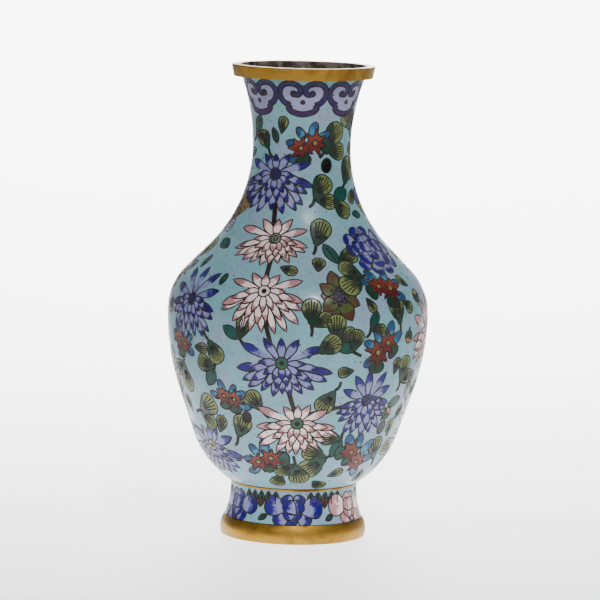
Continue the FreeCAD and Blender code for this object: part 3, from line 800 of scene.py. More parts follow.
def absorb_scraps(owned, area, neighbours):
    """Gives scraps too small to fill with enamel to the cell they touch most."""
    for _ in range(2):
        seen = np.zeros(len(owned), bool)
        moves = []
        for first in range(len(owned)):
            if seen[first]:
                continue
            seen[first] = True
            group = [first]
            touching = {}
            for t in group:
                for n in neighbours[t]:
                    if n < 0:
                        continue
                    if owned[n] == owned[first]:
                        if not seen[n]:
                            seen[n] = True
                            group.append(n)
                    else:
                        touching[owned[n]] = touching.get(owned[n], 0) + 1
            limit = SMALLEST_GROUND if owned[first] == GROUND else SMALLEST_AREA
            if touching and area[group].sum() < limit:
                moves.append((group, max(touching, key=touching.get)))
        for group, owner in moves:
            owned[group] = owner
    return owned


# ---- meshes ----

def make_object(name, points, faces, slot_name, stands_for, material):
    """A piece that rides with the vase, instead of the CAD nodes it stands for; the slot name passed in is
    not used.
    """
    mesh = bpy.data.meshes.new(name)
    mesh.from_pydata((np.asarray(points) * MM).tolist(), [], faces)
    mesh.update()
    mesh.polygons.foreach_set("use_smooth", [True] * len(mesh.polygons))
    mesh.materials.append(material)
    obj = bpy.data.objects.new(name, mesh)
    bpy.context.scene.collection.objects.link(obj)
    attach(obj, "root")
    if stands_for:
        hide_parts(*stands_for)
    return obj


def slab(skin, flat, triangles, owned, depth):
    """A closed plate for each owner: points, faces and where each top point came from."""
    order = np.argsort(owned, kind="stable")
    triangles = triangles[order]
    owned = owned[order]
    key = owned[:, None].astype(np.int64) * (len(flat) + 1) + triangles
    unique, inverse = np.unique(key.ravel(), return_inverse=True)
    corner = inverse.reshape(-1, 3)
    source = (unique % (len(flat) + 1)).astype(int)
    owner = unique // (len(flat) + 1)
    top = skin.surface(flat[source])
    bottom = skin.surface(flat[source], depth)
    count = len(source)
    edges = {}
    for t in corner.tolist():
        for k in range(3):
            a, b = t[k], t[(k + 1) % 3]
            if (b, a) in edges:
                del edges[(b, a)]
            else:
                edges[(a, b)] = True
    sides = [(b, a, a + count, b + count) for a, b in edges]
    faces = corner.tolist() + (corner[:, ::-1] + count).tolist() + sides
    return np.vstack([top, bottom]), faces, source, owner, len(corner)


def set_normals(mesh, skin, flat_points, top_faces, count):
    """Gives the top of a plate the true roundness of the vase."""
    corner_vertex = np.empty(len(mesh.loops), int)
    mesh.loops.foreach_get("vertex_index", corner_vertex)
    face_normals = np.empty(len(mesh.polygons) * 3)
    mesh.polygons.foreach_get("normal", face_normals)
    corners = np.empty(len(mesh.polygons), int)
    mesh.polygons.foreach_get("loop_total", corners)
    normals = np.repeat(face_normals.reshape(-1, 3), corners, axis=0)
    outward = skin.outward(flat_points)
    top = np.arange(top_faces * 3)
    normals[top] = outward[corner_vertex[top] % count]
    mesh.normals_split_custom_set(normals.tolist())


def add_paint(mesh, near, far, along):
    """Stores each cell's two colours, and how far along the cell each point is, for the material."""
    for name, values in (("near", near), ("far", far)):
        layer = mesh.attributes.new(name, "FLOAT_COLOR", "POINT")
        rgba = np.ones((len(mesh.vertices), 4))
        rgba[:, :3] = np.vstack([values, values])
        layer.data.foreach_set("color", rgba.ravel())
    layer = mesh.attributes.new("along", "FLOAT", "POINT")
    layer.data.foreach_set("value", np.concatenate([along, along]))


ENAMEL_THICK = 0.7
COLUMNS = 4


def enamel_objects(sheet, arranged, stands_for, slots):
    """One object for each piece of enamel, from the cells that can be seen."""
    flat, triangles, owned, _ = arranged
    pieces = sorted(set(cell.piece for cell in sheet.cells))
    piece_of = np.array([pieces.index(cell.piece) for cell in sheet.cells] + [-1])
    belongs = piece_of[owned]
    for number, piece in enumerate(pieces):
        mine = belongs == number
        if not mine.any():
            continue
        plate = slab(sheet.skin, flat, triangles[mine], owned[mine], ENAMEL_THICK)
        points, faces, source, owner, top_faces = plate
        obj = make_object(piece, points, faces, slots(piece), stands_for.get(piece, ()),
                          materials["painted_enamel"])
        cells = [sheet.cells[k] for k in owner]
        start = np.array([cell.start for cell in cells])
        run = np.array([cell.end for cell in cells]) - start
        step = flat[source] - start
        step[:, 0] = (step[:, 0] + TURN / 2) % TURN - TURN / 2
        along = (step * run).sum(axis=1) / np.maximum((run ** 2).sum(axis=1), 1e-9)
        add_paint(obj.data, [cell.near for cell in cells], [cell.far for cell in cells], along)
        set_normals(obj.data, sheet.skin, flat[source], top_faces, len(source))


def ground_objects(sheet, arranged, label, levels):
    """The bare ground in plates: four round the vase between each two levels."""
    flat, triangles, owned, _ = arranged
    middle = flat[triangles].mean(axis=1)
    column = ((middle[:, 0] + TURN / 2) / TURN * COLUMNS).astype(int).clip(0, COLUMNS - 1)
    level = np.searchsorted(np.array(levels), middle[:, 1])
    for around in range(COLUMNS):
        for up in range(len(levels) + 1):
            bare = (owned == GROUND) & (column == around) & (level == up)
            if not bare.any():
                continue
            plate = slab(sheet.skin, flat, triangles[bare], np.zeros(bare.sum(), int), ENAMEL_THICK)
            points, faces, source, _, top_faces = plate
            obj = make_object("%s_%d_%d" % (label, around + 1, up + 1), points, faces, "turquoise_enamel",
                              [label + "_enamel"], materials["ground_enamel"])
            set_normals(obj.data, sheet.skin, flat[source], top_faces, len(source))


def thin_line(line, tolerance):
    """Drops the points of a line that lie nearly on the straight way past them."""
    keep = np.zeros(len(line), bool)
    keep[[0, -1]] = True
    spans = [(0, len(line) - 1)]
    while spans:
        a, b = spans.pop()
        if b - a < 2:
            continue
        run = line[b] - line[a]
        size = math.hypot(run[0], run[1])
        rest = line[a + 1:b] - line[a]
        if size < 1e-6:
            away = np.hypot(rest[:, 0], rest[:, 1])
        else:
            away = np.abs(rest[:, 0] * run[1] - rest[:, 1] * run[0]) / size
        worst = int(away.argmax())
        if away[worst] > tolerance:
            middle = a + 1 + worst
            keep[middle] = True
            spans.extend([(a, middle), (middle, b)])
    return line[keep]


def chains(edges):
    """Joins edges into lines that end where three or more meet."""
    links = {}
    for a, b in edges:
        links.setdefault(a, []).append(b)
        links.setdefault(b, []).append(a)
    used = set()
    lines = []

    def walk(a, b):
        line = [a]
        while (min(a, b), max(a, b)) not in used:
            used.add((min(a, b), max(a, b)))
            line.append(b)
            if len(links[b]) == 2:
                a, b = b, (links[b][0] if links[b][1] == a else links[b][1])
        if len(line) > 1:
            lines.append(line)

    for ends_only in (True, False):
        for a in links:
            if len(links[a]) != 2 or not ends_only:
                for b in links[a]:
                    walk(a, b)
    return lines


WIRE_WIDTH = 0.66
WIRE_PROUD = 0.05
WIRE_EDGE = 0.015
WIRE_DEEP = 0.3
SHORTEST_WIRE = 0.15
LINE_TOLERANCE = 0.03
WIRE_SECTION = (
    (-WIRE_WIDTH / 2, -WIRE_DEEP), (-WIRE_WIDTH / 2, WIRE_EDGE), (0, WIRE_PROUD),
    (WIRE_WIDTH / 2, WIRE_EDGE), (WIRE_WIDTH / 2, -WIRE_DEEP),
)


def unit(vectors):
    return vectors / np.maximum(np.linalg.norm(vectors, axis=1), 1e-9)[:, None]


def wire_mesh(skin, lines):
    """A closed strip of wire along each line, standing slightly above the enamel."""
    points = []
    faces = []
    size = len(WIRE_SECTION)
    for line in lines:
        place = skin.surface(line)
        up = skin.outward(line)
        run = unit(np.gradient(place, axis=0))
        place[0] -= run[0] * WIRE_WIDTH * 0.3
        place[-1] += run[-1] * WIRE_WIDTH * 0.3
        side = unit(np.cross(up, run))
        start = len(points)
        for k in range(len(line)):
            for across, rise in WIRE_SECTION:
                points.append(place[k] + side[k] * across + up[k] * rise)
        last = start + (len(line) - 1) * size
        for a in range(start, last, size):
            for j in range(size):
                n = (j + 1) % size
                faces.append((a + j, a + size + j, a + size + n, a + n))
        faces.append(tuple(range(start, start + size)))
        faces.append(tuple(reversed(range(last, last + size))))
    return points, faces


def wire_objects(sheet, arranged, group_of, stands_for):
    """The wires of each group: one on every edge between two cells, and the loose ones."""
    flat, triangles, owned, neighbours = arranged
    ranks = [cell.rank for cell in sheet.cells] + [LOWEST]
    groups = {}
    for t, mine in enumerate(owned):
        for k in range(3):
            n = neighbours[t, k]
            if n < t or owned[n] == mine:
                continue
            owner = mine if ranks[mine] > ranks[owned[n]] else owned[n]
            edge = (int(triangles[t, k]), int(triangles[t, (k + 1) % 3]))
            groups.setdefault(group_of(sheet.cells[owner].piece), []).append(edge)
    veins = {}
    for piece, line in sheet.veins:
        veins.setdefault(group_of(piece), []).append(line)
    for group in sorted(set(groups) | set(veins)):
        lines = [thin_line(flat[np.array(chain)], LINE_TOLERANCE) for chain in chains(groups.get(group, []))]
        lines = [line for line in lines if np.hypot(*(np.diff(line, axis=0)).T).sum() > SHORTEST_WIRE]
        points, faces = wire_mesh(sheet.skin, lines + veins.get(group, []))
        make_object(group + "_cloisons_visual", points, faces, "cloison_wire", stands_for.get(group, ()),
                    materials["wire"])


# ---- materials ----

class Paint:
    """A material in the making, with a short way to add each kind of node."""

    def __init__(self, name):
        self.material = bpy.data.materials.new(name)
        self.material.use_nodes = True
        self.nodes = self.material.node_tree.nodes
        self.links = self.material.node_tree.links
        self.shader = self.nodes["Principled BSDF"]

    def node(self, kind, **settings):
        """A new node with its sockets set to numbers or linked to other sockets."""
        node = self.nodes.new("ShaderNode" + kind)
        for name, value in settings.items():
            self.feed(node.inputs[name.replace("_", " ")], value)
        return node

    def feed(self, socket, value):
        if isinstance(value, bpy.types.NodeSocket):
            self.links.new(value, socket)
        elif isinstance(value, tuple) and len(socket.default_value) == 4:
            socket.default_value = (*value, 1)
        else:
            socket.default_value = value

    def here(self):
        return self.node("TexCoord").outputs["Object"]

    def noise(self, scale, detail, roughness=0.55, distortion=0.0):
        """A noise pattern fixed to the vase, about 1000 / scale millimetres across."""
        return self.node("TexNoise", Vector=self.here(), Scale=scale, Detail=detail, Roughness=roughness,
                         Distortion=distortion).outputs["Fac"]

    def ramp(self, source, low, high, out_low=0.0, out_high=1.0, smooth=True):
        reach = self.node("MapRange", Value=source, From_Min=low, From_Max=high, To_Min=out_low,
                          To_Max=out_high)
        reach.interpolation_type = "SMOOTHSTEP" if smooth else "LINEAR"
        return reach.outputs["Result"]

    def blend(self, factor, first, second):
        """Two colours mixed by a factor; each is a socket or a value."""
        mix = self.nodes.new("ShaderNodeMix")
        mix.data_type = "RGBA"
        sockets = {socket.identifier: socket for socket in mix.inputs}
        for identifier, value in (("Factor_Float", factor), ("A_Color", first), ("B_Color", second)):
            self.feed(sockets[identifier], value)
        return [socket for socket in mix.outputs if socket.identifier == "Result_Color"][0]

    def work(self, operation, first, second=0.0):
        node = self.nodes.new("ShaderNodeMath")
        node.operation = operation
        self.feed(node.inputs[0], first)
        self.feed(node.inputs[1], second)
        return node.outputs["Value"]

    def bump(self, height, distance, strength):
        node = self.node("Bump", Distance=distance, Strength=strength, Height=height)
        self.links.new(node.outputs["Normal"], self.shader.inputs["Normal"])

    def set(self, name, value):
        self.feed(self.shader.inputs[name], value)

    def finish_enamel(self, colour):
        """Pits, fine mottling and a slightly worn polish on an enamel colour."""
        darker = self.blend(0.5, colour, SOOT)
        colour = self.blend(self.ramp(self.noise(900, 2.0), 0.3, 0.7, 0.0, 0.35), colour, darker)
        cells = self.node("TexVoronoi", Vector=self.here(), Scale=330, Randomness=1.0)
        pits = self.ramp(cells.outputs["Distance"], 0.10, 0.20, 1.0, 0.0)
        sparse = self.ramp(self.noise(120, 2.0), 0.52, 0.6)
        colour = self.blend(self.work("MULTIPLY", pits, sparse), colour, PIT)
        self.set("Base Color", colour)
        self.set("Roughness", self.ramp(self.noise(160, 3.0), 0.3, 0.7, 0.22, 0.42))
        self.set("IOR", 1.4)
        self.set("Specular IOR Level", 0.4)
        self.bump(self.noise(110, 2.0), 0.0006, 0.10)


SOOT = (0.03, 0.03, 0.04)
PIT = (0.03, 0.025, 0.025)


def painted_enamel():
    """Enamel that runs from one colour at the root of a cell to another at its tip."""
    paint = Paint("painted_enamel")
    stored = {}
    for name in ("near", "far", "along"):
        stored[name] = paint.node("Attribute")
        stored[name].attribute_name = name
    ragged = paint.ramp(paint.noise(420, 2.0), 0.25, 0.75, -0.16, 0.16, False)
    factor = paint.ramp(paint.work("ADD", stored["along"].outputs["Fac"], ragged), 0.42, 0.64)
    paint.finish_enamel(paint.blend(factor, stored["near"].outputs["Color"], stored["far"].outputs["Color"]))
    return paint


def ground_enamel():
    """Pale turquoise with lilac clouds in it."""
    paint = Paint("ground_enamel")
    clouds = paint.ramp(paint.noise(55, 4.0, 0.6, 0.6), 0.42, 0.66)
    colour = paint.blend(clouds, tint(116, 166, 176), tint(136, 150, 174))
    green = paint.ramp(paint.noise(90, 3.0, 0.6, 0.4), 0.5, 0.75)
    paint.finish_enamel(paint.blend(green, colour, tint(104, 154, 158)))
    return paint


def metal(name, bright, dark, scale, dark_share, roughness, metallic, bump_strength=0.1):
    """Metal or plain enamel with patches of tarnish."""
    paint = Paint(name)
    patches = paint.noise(scale, 5.0, 0.62, 0.5)
    paint.set("Base Color", paint.blend(paint.ramp(patches, dark_share, dark_share + 0.22), bright, dark))
    paint.set("Roughness", paint.ramp(patches, 0.35, 0.7, roughness, min(1, roughness + 0.28)))
    paint.set("Metallic", metallic)
    paint.bump(paint.noise(scale * 6, 4.0), 0.0004, bump_strength)
    return paint


def gilt_ring(bore):
    """Gilt that turns to a grey-brown patina on the faces nearest the bore."""
    paint = metal("gilt_worn_inside", GILT, GILT_DARK, 34, 0.5, 0.34, 1.0, 0.25)
    gilt = paint.shader.inputs["Base Color"].links[0].from_socket
    level = paint.nodes.new("ShaderNodeVectorMath")
    level.operation = "MULTIPLY"
    level.inputs[1].default_value = (1, 1, 0)
    paint.links.new(paint.here(), level.inputs[0])
    reach = paint.nodes.new("ShaderNodeVectorMath")
    reach.operation = "LENGTH"
    paint.links.new(level.outputs["Vector"], reach.inputs[0])
    outer = paint.ramp(reach.outputs["Value"], (bore + 0.2) * MM, (bore + 1.4) * MM)
    patches = paint.ramp(paint.noise(160, 5.0), 0.4, 0.6)
    patina = paint.blend(patches, tint(120, 112, 104), tint(54, 44, 38))
    paint.set("Base Color", paint.blend(outer, patina, gilt))
    paint.set("Metallic", outer)
    return paint


GILT = tint(165, 125, 50)
GILT_DARK = tint(74, 52, 24)
CROWN = 0.1
mouth_points, _ = node_mesh("mouth_ring")
crown_points = mouth_points[mouth_points[:, 2] > span("mouth_ring")[1] - CROWN]
mouth_bore = np.hypot(crown_points[:, 0], crown_points[:, 1]).min()

paints = {
    "painted_enamel": painted_enamel(),
    "ground_enamel": ground_enamel(),
    "wire": metal("cloison_wire", tint(34, 25, 20), tint(12, 10, 10), 260, 0.42, 0.5, 0.3),
    "gilt": metal("gilt_brass", GILT, GILT_DARK, 34, 0.5, 0.34, 1.0, 0.25),
    "mouth": gilt_ring(mouth_bore),
    "copper": metal("patinated_copper", tint(104, 80, 62), tint(62, 60, 48), 70, 0.45, 0.5, 0.6, 0.25),
    "counter": metal("counter_enamel", tint(70, 130, 136), tint(50, 96, 100), 90, 0.5, 0.35, 0.0),
}
materials = {name: paint.material for name, paint in paints.items()}


# ---- the decoration: every motif lies where the CAD has its enamel ----

BLUES = (LILAC_WHITE, DEEP_BLUE)
PINKS = (PALE_PINK, DUSTY_PINK)
HUES = {"blue": BLUES, "pink": PINKS}

FLOWER_NODES = sorted(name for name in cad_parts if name.startswith("chrysanthemum_"))
HALF_COUNT = len(FLOWER_NODES) // 2
FLOWER_DISCS = ("blue", "grey", "white", "blue", "white", "green", "blue", "green", "yellow", "blue")
FOOT_COLOURS = (BLUES, PINKS, BLUES)

# How much larger each motif is drawn than the CAD's enamel for it.
FLOWER_SPREAD = 1.06
PEONY_SPREAD = 1.1
FOOT_SPREAD = 1.28
LEAF_SPREAD = 1.22
BLOSSOM_SPREAD = 0.68
BUTTERFLY_SPREAD = 1.2
FRUIT_SPREAD = (1.1, 0.85)
POMEGRANATE_REACHES = (11, 15, 9, 14)

# How far apart two solids of one motif can lie.
BLOSSOM_BUNCH = 7
POMEGRANATE_BUNCH = 11
FOOT_BUNCH = 12
BUTTERFLY_BUNCH = 14

# A motif on a higher layer covers those on lower ones; later ones of a kind lie slightly higher.
STEM_LAYER = 0
FOOT_LAYER = 10
SCATTER_LAYER = 20
POMEGRANATE_LAYER = 30
LEAF_LAYER = 40
BLOSSOM_LAYER = 50
FRUIT_LAYER = 55
BUTTERFLY_LAYER = 60
PEONY_LAYER = 80
FLOWER_LAYER = 100
COLLAR_LAYER = 200
LAYER_STEPS = 100

BUD_EVERY = 9
PLAIN_EVERY = 3
STEM_WIDTH = 1.9
STEM_REACH = 42
STALK_WIDTH = 1.1
STALK_LENGTH = 5.0
PAIR_ANGLES = (70, -65, 80, 0)
SCATTER_TRIES = 1800
SCATTER_SPACE = 0.9
SCATTER_ABOVE = 5
SCATTER_BELOW = 24
SCATTER_STRIPED = 0.6
FLOWER_TURN = 4
FRUIT_DIRECTION = 80
COLLAR_DROP = 9
FRINGE_TURN = 30
FRINGE_STEP = 7
FRINGE_DROP = 0.4
FRINGE_SIZE = (7.5, 3.4, 268)


def hue_of(node):
    """The colour word at the end of a chrysanthemum node's name."""
    return node.rsplit("_", 1)[1]


def bowed(end, bow):
    """A line from the origin to an end that swings out to one side half way."""
    across, up = end
    return [(0, 0), (across / 2 - up * bow, up / 2 + across * bow), (across, up)]


def add_stems(sheet, flowers):
    """A brown stem from each flower to the nearest one below it."""
    for spot in flowers:
        below = []
        for other in flowers:
            if other.s < spot.s - STALK_LENGTH and spot.distance(other) < STEM_REACH:
                below.append(other)
        if below:
            nearest = min(below, key=spot.distance)
            line = bowed(spot.offset(nearest), random.uniform(-0.1, 0.1))
            stem(sheet, "stems_" + spot.side(), spot.place(), line, STEM_WIDTH)


def leaf_from(spot, flowers):
    """A leaf's stalk end, size and direction: it points away from the nearest flower."""
    length, width, direction = spot.long_side()
    across, up = spot.offset(min(flowers, key=spot.distance))
    pull = across * math.cos(math.radians(direction)) + up * math.sin(math.radians(direction))
    if pull > 0:
        direction += 180
    length *= LEAF_SPREAD
    root = turned([(-length / 2, 0)], direction)[0]
    return spot.place().beside(root[0], root[1]), length, width, direction


def add_leaves(sheet, flowers):
    """A stalk with a pair of leaves or a bud wherever the CAD has a leaf."""
    for number, spot in enumerate(spots(sheet.skin, "leaf_enamel")):
        place, length, width, direction = leaf_from(spot, flowers)
        leaves = "leaves_" + spot.side()
        sheet.layer = STEM_LAYER
        stalk = turned(bowed((-STALK_LENGTH, 0), random.uniform(-0.2, 0.2)), direction)
        stem(sheet, "stems_" + spot.side(), place, stalk, STALK_WIDTH)
        sheet.layer = LEAF_LAYER + number / LAYER_STEPS
        if number % BUD_EVERY == 0:
            bud(sheet, "fruit_" + spot.side(), place, length / 3, direction)
        elif number % PLAIN_EVERY == 0:
            plain_leaf(sheet, leaves, place, length * 1.2, width * 1.5, direction)
            striped_leaf(sheet, leaves, place, length * 1.1, width * 1.8, direction - 75)
        else:
            striped_leaf(sheet, leaves, place, length * 1.3, width * 2.2, direction)
            lean = PAIR_ANGLES[number % len(PAIR_ANGLES)]
            if lean:
                striped_leaf(sheet, leaves, place, length * 1.1, width * 1.7, direction + lean)


def box_of(outline):
    """The middle of an outline and half its width and height."""
    return outline.mean(axis=0), np.ptp(outline[:, 0]) / 2, np.ptp(outline[:, 1]) / 2


def crowded(box, taken):
    """Whether a box overlaps one of those already taken."""
    middle, across, along = box
    for centre, wide, tall in taken:
        gap = (middle[0] - centre[0] + TURN / 2) % TURN - TURN / 2
        if (abs(gap) < (wide + across) * SCATTER_SPACE
                and abs(middle[1] - centre[1]) < (tall + along) * SCATTER_SPACE):
            return True
    return False


def scatter_leaves(sheet):
    """Small leaves grown into the bare ground left over."""
    taken = [box_of(cell.flat) for cell in sheet.cells]
    for _ in range(SCATTER_TRIES):
        angle = random.uniform(-180, 180)
        height = random.uniform(body_low + SCATTER_ABOVE, body_high - SCATTER_BELOW)
        length = random.uniform(7, 10.5)
        width = length * random.uniform(0.55, 0.75)
        direction = random.uniform(0, 360)
        place = Place(sheet.skin, angle, height)
        box = box_of(place.lay(turned(paddle_shape(length, width), direction)))
        if crowded(box, taken):
            continue
        taken.append(box)
        piece = "leaves_front" if abs(angle) < 90 else "leaves_back"
        if random.random() < SCATTER_STRIPED:
            striped_leaf(sheet, piece, place, length, width, direction)
        else:
            plain_leaf(sheet, piece, place, length, width * 0.8, direction)


def decorate_body(sheet):
    """Flowers, leaves, fruit, butterflies and the collar of the body."""
    skin = sheet.skin
    flowers = []
    for number, node in enumerate(FLOWER_NODES):
        spot = hub_spot(skin, [Spot(skin, points) for points in solids(node)])
        flowers.append(spot)
        sheet.layer = FLOWER_LAYER + number % HALF_COUNT
        chrysanthemum(sheet, "flower_%02d" % (number + 1), spot.place(), spot.reaches(FLOWER_SPREAD),
                      HUES[hue_of(node)], FLOWER_DISCS[number % HALF_COUNT],
                      random.uniform(-FLOWER_TURN, FLOWER_TURN))
    sheet.layer = STEM_LAYER
    add_stems(sheet, flowers)
    sheet.layer = PEONY_LAYER
    for number, colours in ((1, BLUES), (2, PINKS)):
        spot = hub_spot(skin, [Spot(skin, points) for points in solids("peony_%d" % number)])
        flowers.append(spot)
        scaled_flower(sheet, "peony_flower_%d" % number, spot.place(), spot.reaches(PEONY_SPREAD),
                      colours, SCALE_ROWS)
    add_leaves(sheet, flowers)
    for number, spot in enumerate(bunches(skin, "blossom_enamel", BLOSSOM_BUNCH)):
        sheet.layer = BLOSSOM_LAYER + number / LAYER_STEPS
        blossom(sheet, "blossoms_" + spot.side(), spot.place(), spot.size() * BLOSSOM_SPREAD,
                random.uniform(30, 150))
    sheet.layer = FRUIT_LAYER
    for spot in spots(skin, "fruit_enamel"):
        length, width = (spot.size() * spread for spread in FRUIT_SPREAD)
        fruit(sheet, "fruit_" + spot.side(), spot.place(), length, width, FRUIT_DIRECTION)
    sheet.layer = POMEGRANATE_LAYER
    for spot in bunches(skin, "pomegranate_enamel", POMEGRANATE_BUNCH):
        pomegranate(sheet, "pomegranate_" + spot.side(), spot.place(), POMEGRANATE_REACHES)
    sheet.layer = BUTTERFLY_LAYER
    for spot in bunches(skin, "butterfly_enamel", BUTTERFLY_BUNCH):
        butterfly(sheet, "butterfly_" + spot.side(), spot.place(), spot.size() * BUTTERFLY_SPREAD)
    sheet.layer = SCATTER_LAYER
    scatter_leaves(sheet)
    sheet.layer = COLLAR_LAYER
    for spot in spots(skin, "collar_enamel"):
        lappet(sheet, "collar", Place(skin, math.degrees(spot.turn), body_high - COLLAR_DROP))


def decorate_foot(sheet):
    """Peonies and leaves of the foot, with a fringe of small leaves hanging between the peonies."""
    skin = sheet.skin
    flowers = bunches(skin, "foot_peony_enamel", FOOT_BUNCH)
    flowers = sorted(flowers, key=lambda spot: round(spot.turn % (2 * math.pi), 1))
    sheet.layer = FOOT_LAYER
    for number, spot in enumerate(flowers):
        scaled_flower(sheet, "foot_peony_flower_%d" % (number + 1), spot.place(),
                      spot.reaches(FOOT_SPREAD), FOOT_COLOURS[number % 3], FOOT_ROWS)
    sheet.layer = STEM_LAYER
    for spot in spots(skin, "foot_leaf_enamel"):
        place, length, width, direction = leaf_from(spot, flowers)
        plain_leaf(sheet, "foot_leaves", place, length, width * 1.3, direction, LEAF_GREEN, TEAL)
    for spot in flowers:
        for lean in (-2, -1, 0, 1, 2):
            angle = math.degrees(spot.turn) + FRINGE_TURN + lean * FRINGE_STEP
            place = Place(skin, angle, foot_high - FRINGE_DROP)
            plain_leaf(sheet, "foot_leaves", place, *FRINGE_SIZE, TEAL, BLOSSOM_RED)


# ---- the pieces: groups, slots and the CAD nodes they stand for ----

TIERS = ("neck",) + ("shoulder",) * 3 + ("belly",) * 3 + ("lower",) * 3
SLOTS = {
    "leaves": "green", "foot_leaves": "green", "stems": "olive", "blossoms": "red", "fruit": "black",
    "pomegranate": "olive", "butterfly": "olive", "collar": "indigo", "peony_flower": "blue",
    "foot_peony_flower": "blue",
}
KINDS = {"leaves": "leaf", "blossoms": "blossom", "fruit": "fruit", "butterfly": "butterfly"}
FOOT_FLOWERS = 6


def group_of(piece):
    """The cloison group a piece's wires belong to."""
    if piece.startswith("flower_"):
        return TIERS[(int(piece[-2:]) - 1) % HALF_COUNT] + "_flower"
    if piece.startswith("foot_peony"):
        return "foot_flower"
    return piece


def slot_of(piece):
    """The material slot of a piece's enamel."""
    if piece.startswith("flower_"):
        return hue_of(FLOWER_NODES[int(piece[-2:]) - 1]) + "_enamel"
    for start, colour in SLOTS.items():
        if piece.startswith(start):
            return colour + "_enamel"
    raise ValueError(piece)


stands = {"collar": ["collar_enamel"], "foot_leaves": ["foot_leaf_enamel"]}
wire_stands = {
    "collar": ["collar_cloisons"],
    "foot_leaves": ["foot_leaf_cloisons"],
    "foot_flower": ["foot_peony_cloisons"],
}
for number, node in enumerate(FLOWER_NODES):
    stands["flower_%02d" % (number + 1)] = [node]
for tier in TIERS:
    wire_stands[tier + "_flower"] = [tier + "_chrysanthemum_cloisons"]
for number, side in ((1, "front"), (2, "back")):
    stands["peony_flower_%d" % number] = ["peony_%d" % number]
    wire_stands["peony_flower_%d" % number] = ["peony_cloisons"]
    stands["pomegranate_" + side] = ["pomegranate_enamel"]
    for pieces, kind in KINDS.items():
        stands[pieces + "_" + side] = [kind + "_enamel"]
        wire_stands[pieces + "_" + side] = [kind + "_cloisons"]
for number in range(FOOT_FLOWERS):
    stands["foot_peony_flower_%d" % (number + 1)] = ["foot_peony_enamel"]


def build(skin, decorate, label, levels):
    """Decorates one skin and makes its enamel, its ground and its wires."""
    sheet = Sheet(skin)
    decorate(sheet)
    arranged = arrange(sheet)
    enamel_objects(sheet, arranged, stands, slot_of)
    ground_objects(sheet, arranged, label, levels)
    wire_objects(sheet, arranged, group_of, wire_stands)


copper_tops = [body_skin.at_height(span(name)[1]) for name in ("belly_copper", "shoulder_copper")]
build(body_skin, decorate_body, "body_ground", copper_tops)
build(foot_skin, decorate_foot, "foot_ground", [])


# ---- the carried-over metal pieces ----

CARRIED = {
    "mouth_ring": "mouth", "foot_ring": "gilt", "waist_band": "gilt", "base_counter_enamel": "counter",
}
for name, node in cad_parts.items():
    node.data.materials.clear()
    node.data.materials.append(materials[CARRIED.get(name, "copper")])


# ---- floor, light and camera ----

FLOOR_HALF = 6.0
FLOOR_FRONT = -3.0
FLOOR_BACK = 2.2
FLOOR_TOP = 6.0
FLOOR_BEND = 1.6
BEND_STEPS = 24
FLOOR_TINT = (236, 236, 236)
GLOW_NEAR = 1.35
GLOW_FAR = 9.0
GLOW_WIDENS = 0.09


def floor_paint():
    """A pale matt floor that glows behind the vase, in a band that widens with the distance."""
    paint = Paint("floor")
    paint.set("Base Color", tint(*FLOOR_TINT))
    paint.set("Roughness", 0.6)
    split = paint.node("SeparateXYZ", Vector=paint.here())
    depth = split.outputs["Y"]
    sideways = paint.work("ABSOLUTE", split.outputs["X"])
    spread = paint.work("ADD", sideways, paint.work("MULTIPLY", depth, -GLOW_WIDENS))
    # Painted glow: the floor's emission stands in for studio light on the table and backdrop, faint near the
    # vase and brightest far behind it.
    glow = paint.ramp(depth, -0.2, 1.6, GLOW_NEAR, GLOW_FAR, False)
    glow = paint.work("MULTIPLY", glow, paint.ramp(spread, 0.15, 0.25, 1.0, 0.0))
    glow = paint.work("MULTIPLY", glow, paint.ramp(depth, -0.26, -0.15))
    paint.set("Emission Color", (1, 1, 1))
    paint.set("Emission Strength", glow)
    return paint


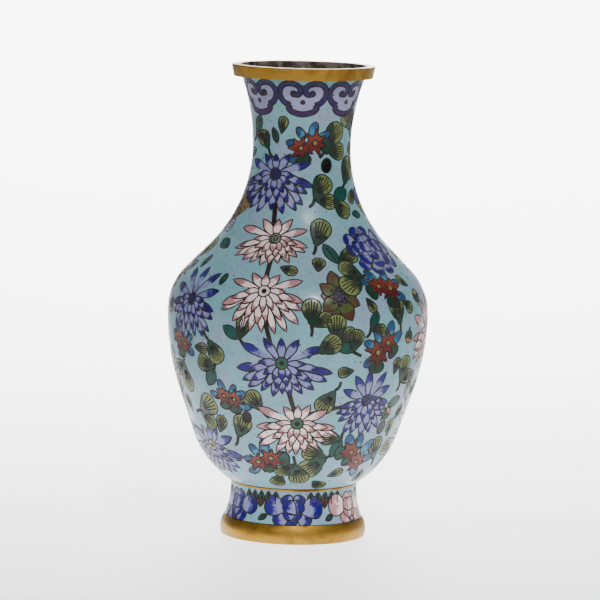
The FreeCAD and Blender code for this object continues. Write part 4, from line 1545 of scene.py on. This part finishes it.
def add_floor():
    """A pale table that curves up behind the vase into a backdrop that glows by its own emission."""
    profile = [(FLOOR_FRONT, 0.0), (FLOOR_BACK - FLOOR_BEND, 0.0)]
    for k in range(1, BEND_STEPS + 1):
        a = math.pi / 2 * k / BEND_STEPS
        profile.append((FLOOR_BACK - FLOOR_BEND + FLOOR_BEND * math.sin(a),
                        FLOOR_BEND - FLOOR_BEND * math.cos(a)))
    profile.append((FLOOR_BACK, FLOOR_TOP))
    points = []
    for y, z in profile:
        points.extend([(-FLOOR_HALF, y, z), (FLOOR_HALF, y, z)])
    faces = [(2 * k, 2 * k + 1, 2 * k + 3, 2 * k + 2) for k in range(len(profile) - 1)]
    mesh = bpy.data.meshes.new("floor")
    mesh.from_pydata(points, [], faces)
    mesh.polygons.foreach_set("use_smooth", [True] * len(mesh.polygons))
    mesh.materials.append(floor_paint().material)
    obj = bpy.data.objects.new("floor", mesh)
    bpy.context.scene.collection.objects.link(obj)


def area_light(name, place, target, size, power):
    """A square lamp aimed at a target."""
    data = bpy.data.lights.new(name, "AREA")
    data.shape = "RECTANGLE"
    data.size = size
    data.size_y = size
    data.energy = power
    obj = bpy.data.objects.new(name, data)
    obj.location = place
    obj.rotation_euler = (Vector(target) - Vector(place)).to_track_quat("-Z", "Y").to_euler()
    bpy.context.scene.collection.objects.link(obj)


add_floor()
area_light("key", (0.42, -1.25, 1.5), (0, 0, 0.14), 0.26, 23)
area_light("fill", (-0.5, -1.6, 1.1), (0, 0, 0.14), 0.8, 4)
area_light("top", (0, 0.2, 2.2), (0, 0, 0), 1.6, 9)

ROOM_COLOUR = (0.86, 0.88, 0.9, 1)
ROOM_STRENGTH = 0.18
world = bpy.data.worlds.new("room")
world.use_nodes = True
background = world.node_tree.nodes["Background"]
background.inputs["Color"].default_value = ROOM_COLOUR
background.inputs["Strength"].default_value = ROOM_STRENGTH
bpy.context.scene.world = world

CAMERA_PLACE = (0, -1.8178, 0.336)
CAMERA_DROP = 0.121
CAMERA_ROLL = 0.024
camera_data = bpy.data.cameras.new("camera")
camera_data.lens = 224.8
camera_data.sensor_width = 36.0
camera_data.shift_x = 0.0032
camera = bpy.data.objects.new("camera", camera_data)
camera.location = CAMERA_PLACE
camera.rotation_euler = (math.pi / 2 - CAMERA_DROP, 0, 0)
camera.rotation_euler.rotate_axis("Z", CAMERA_ROLL)
bpy.context.scene.collection.objects.link(camera)
bpy.context.scene.camera = camera
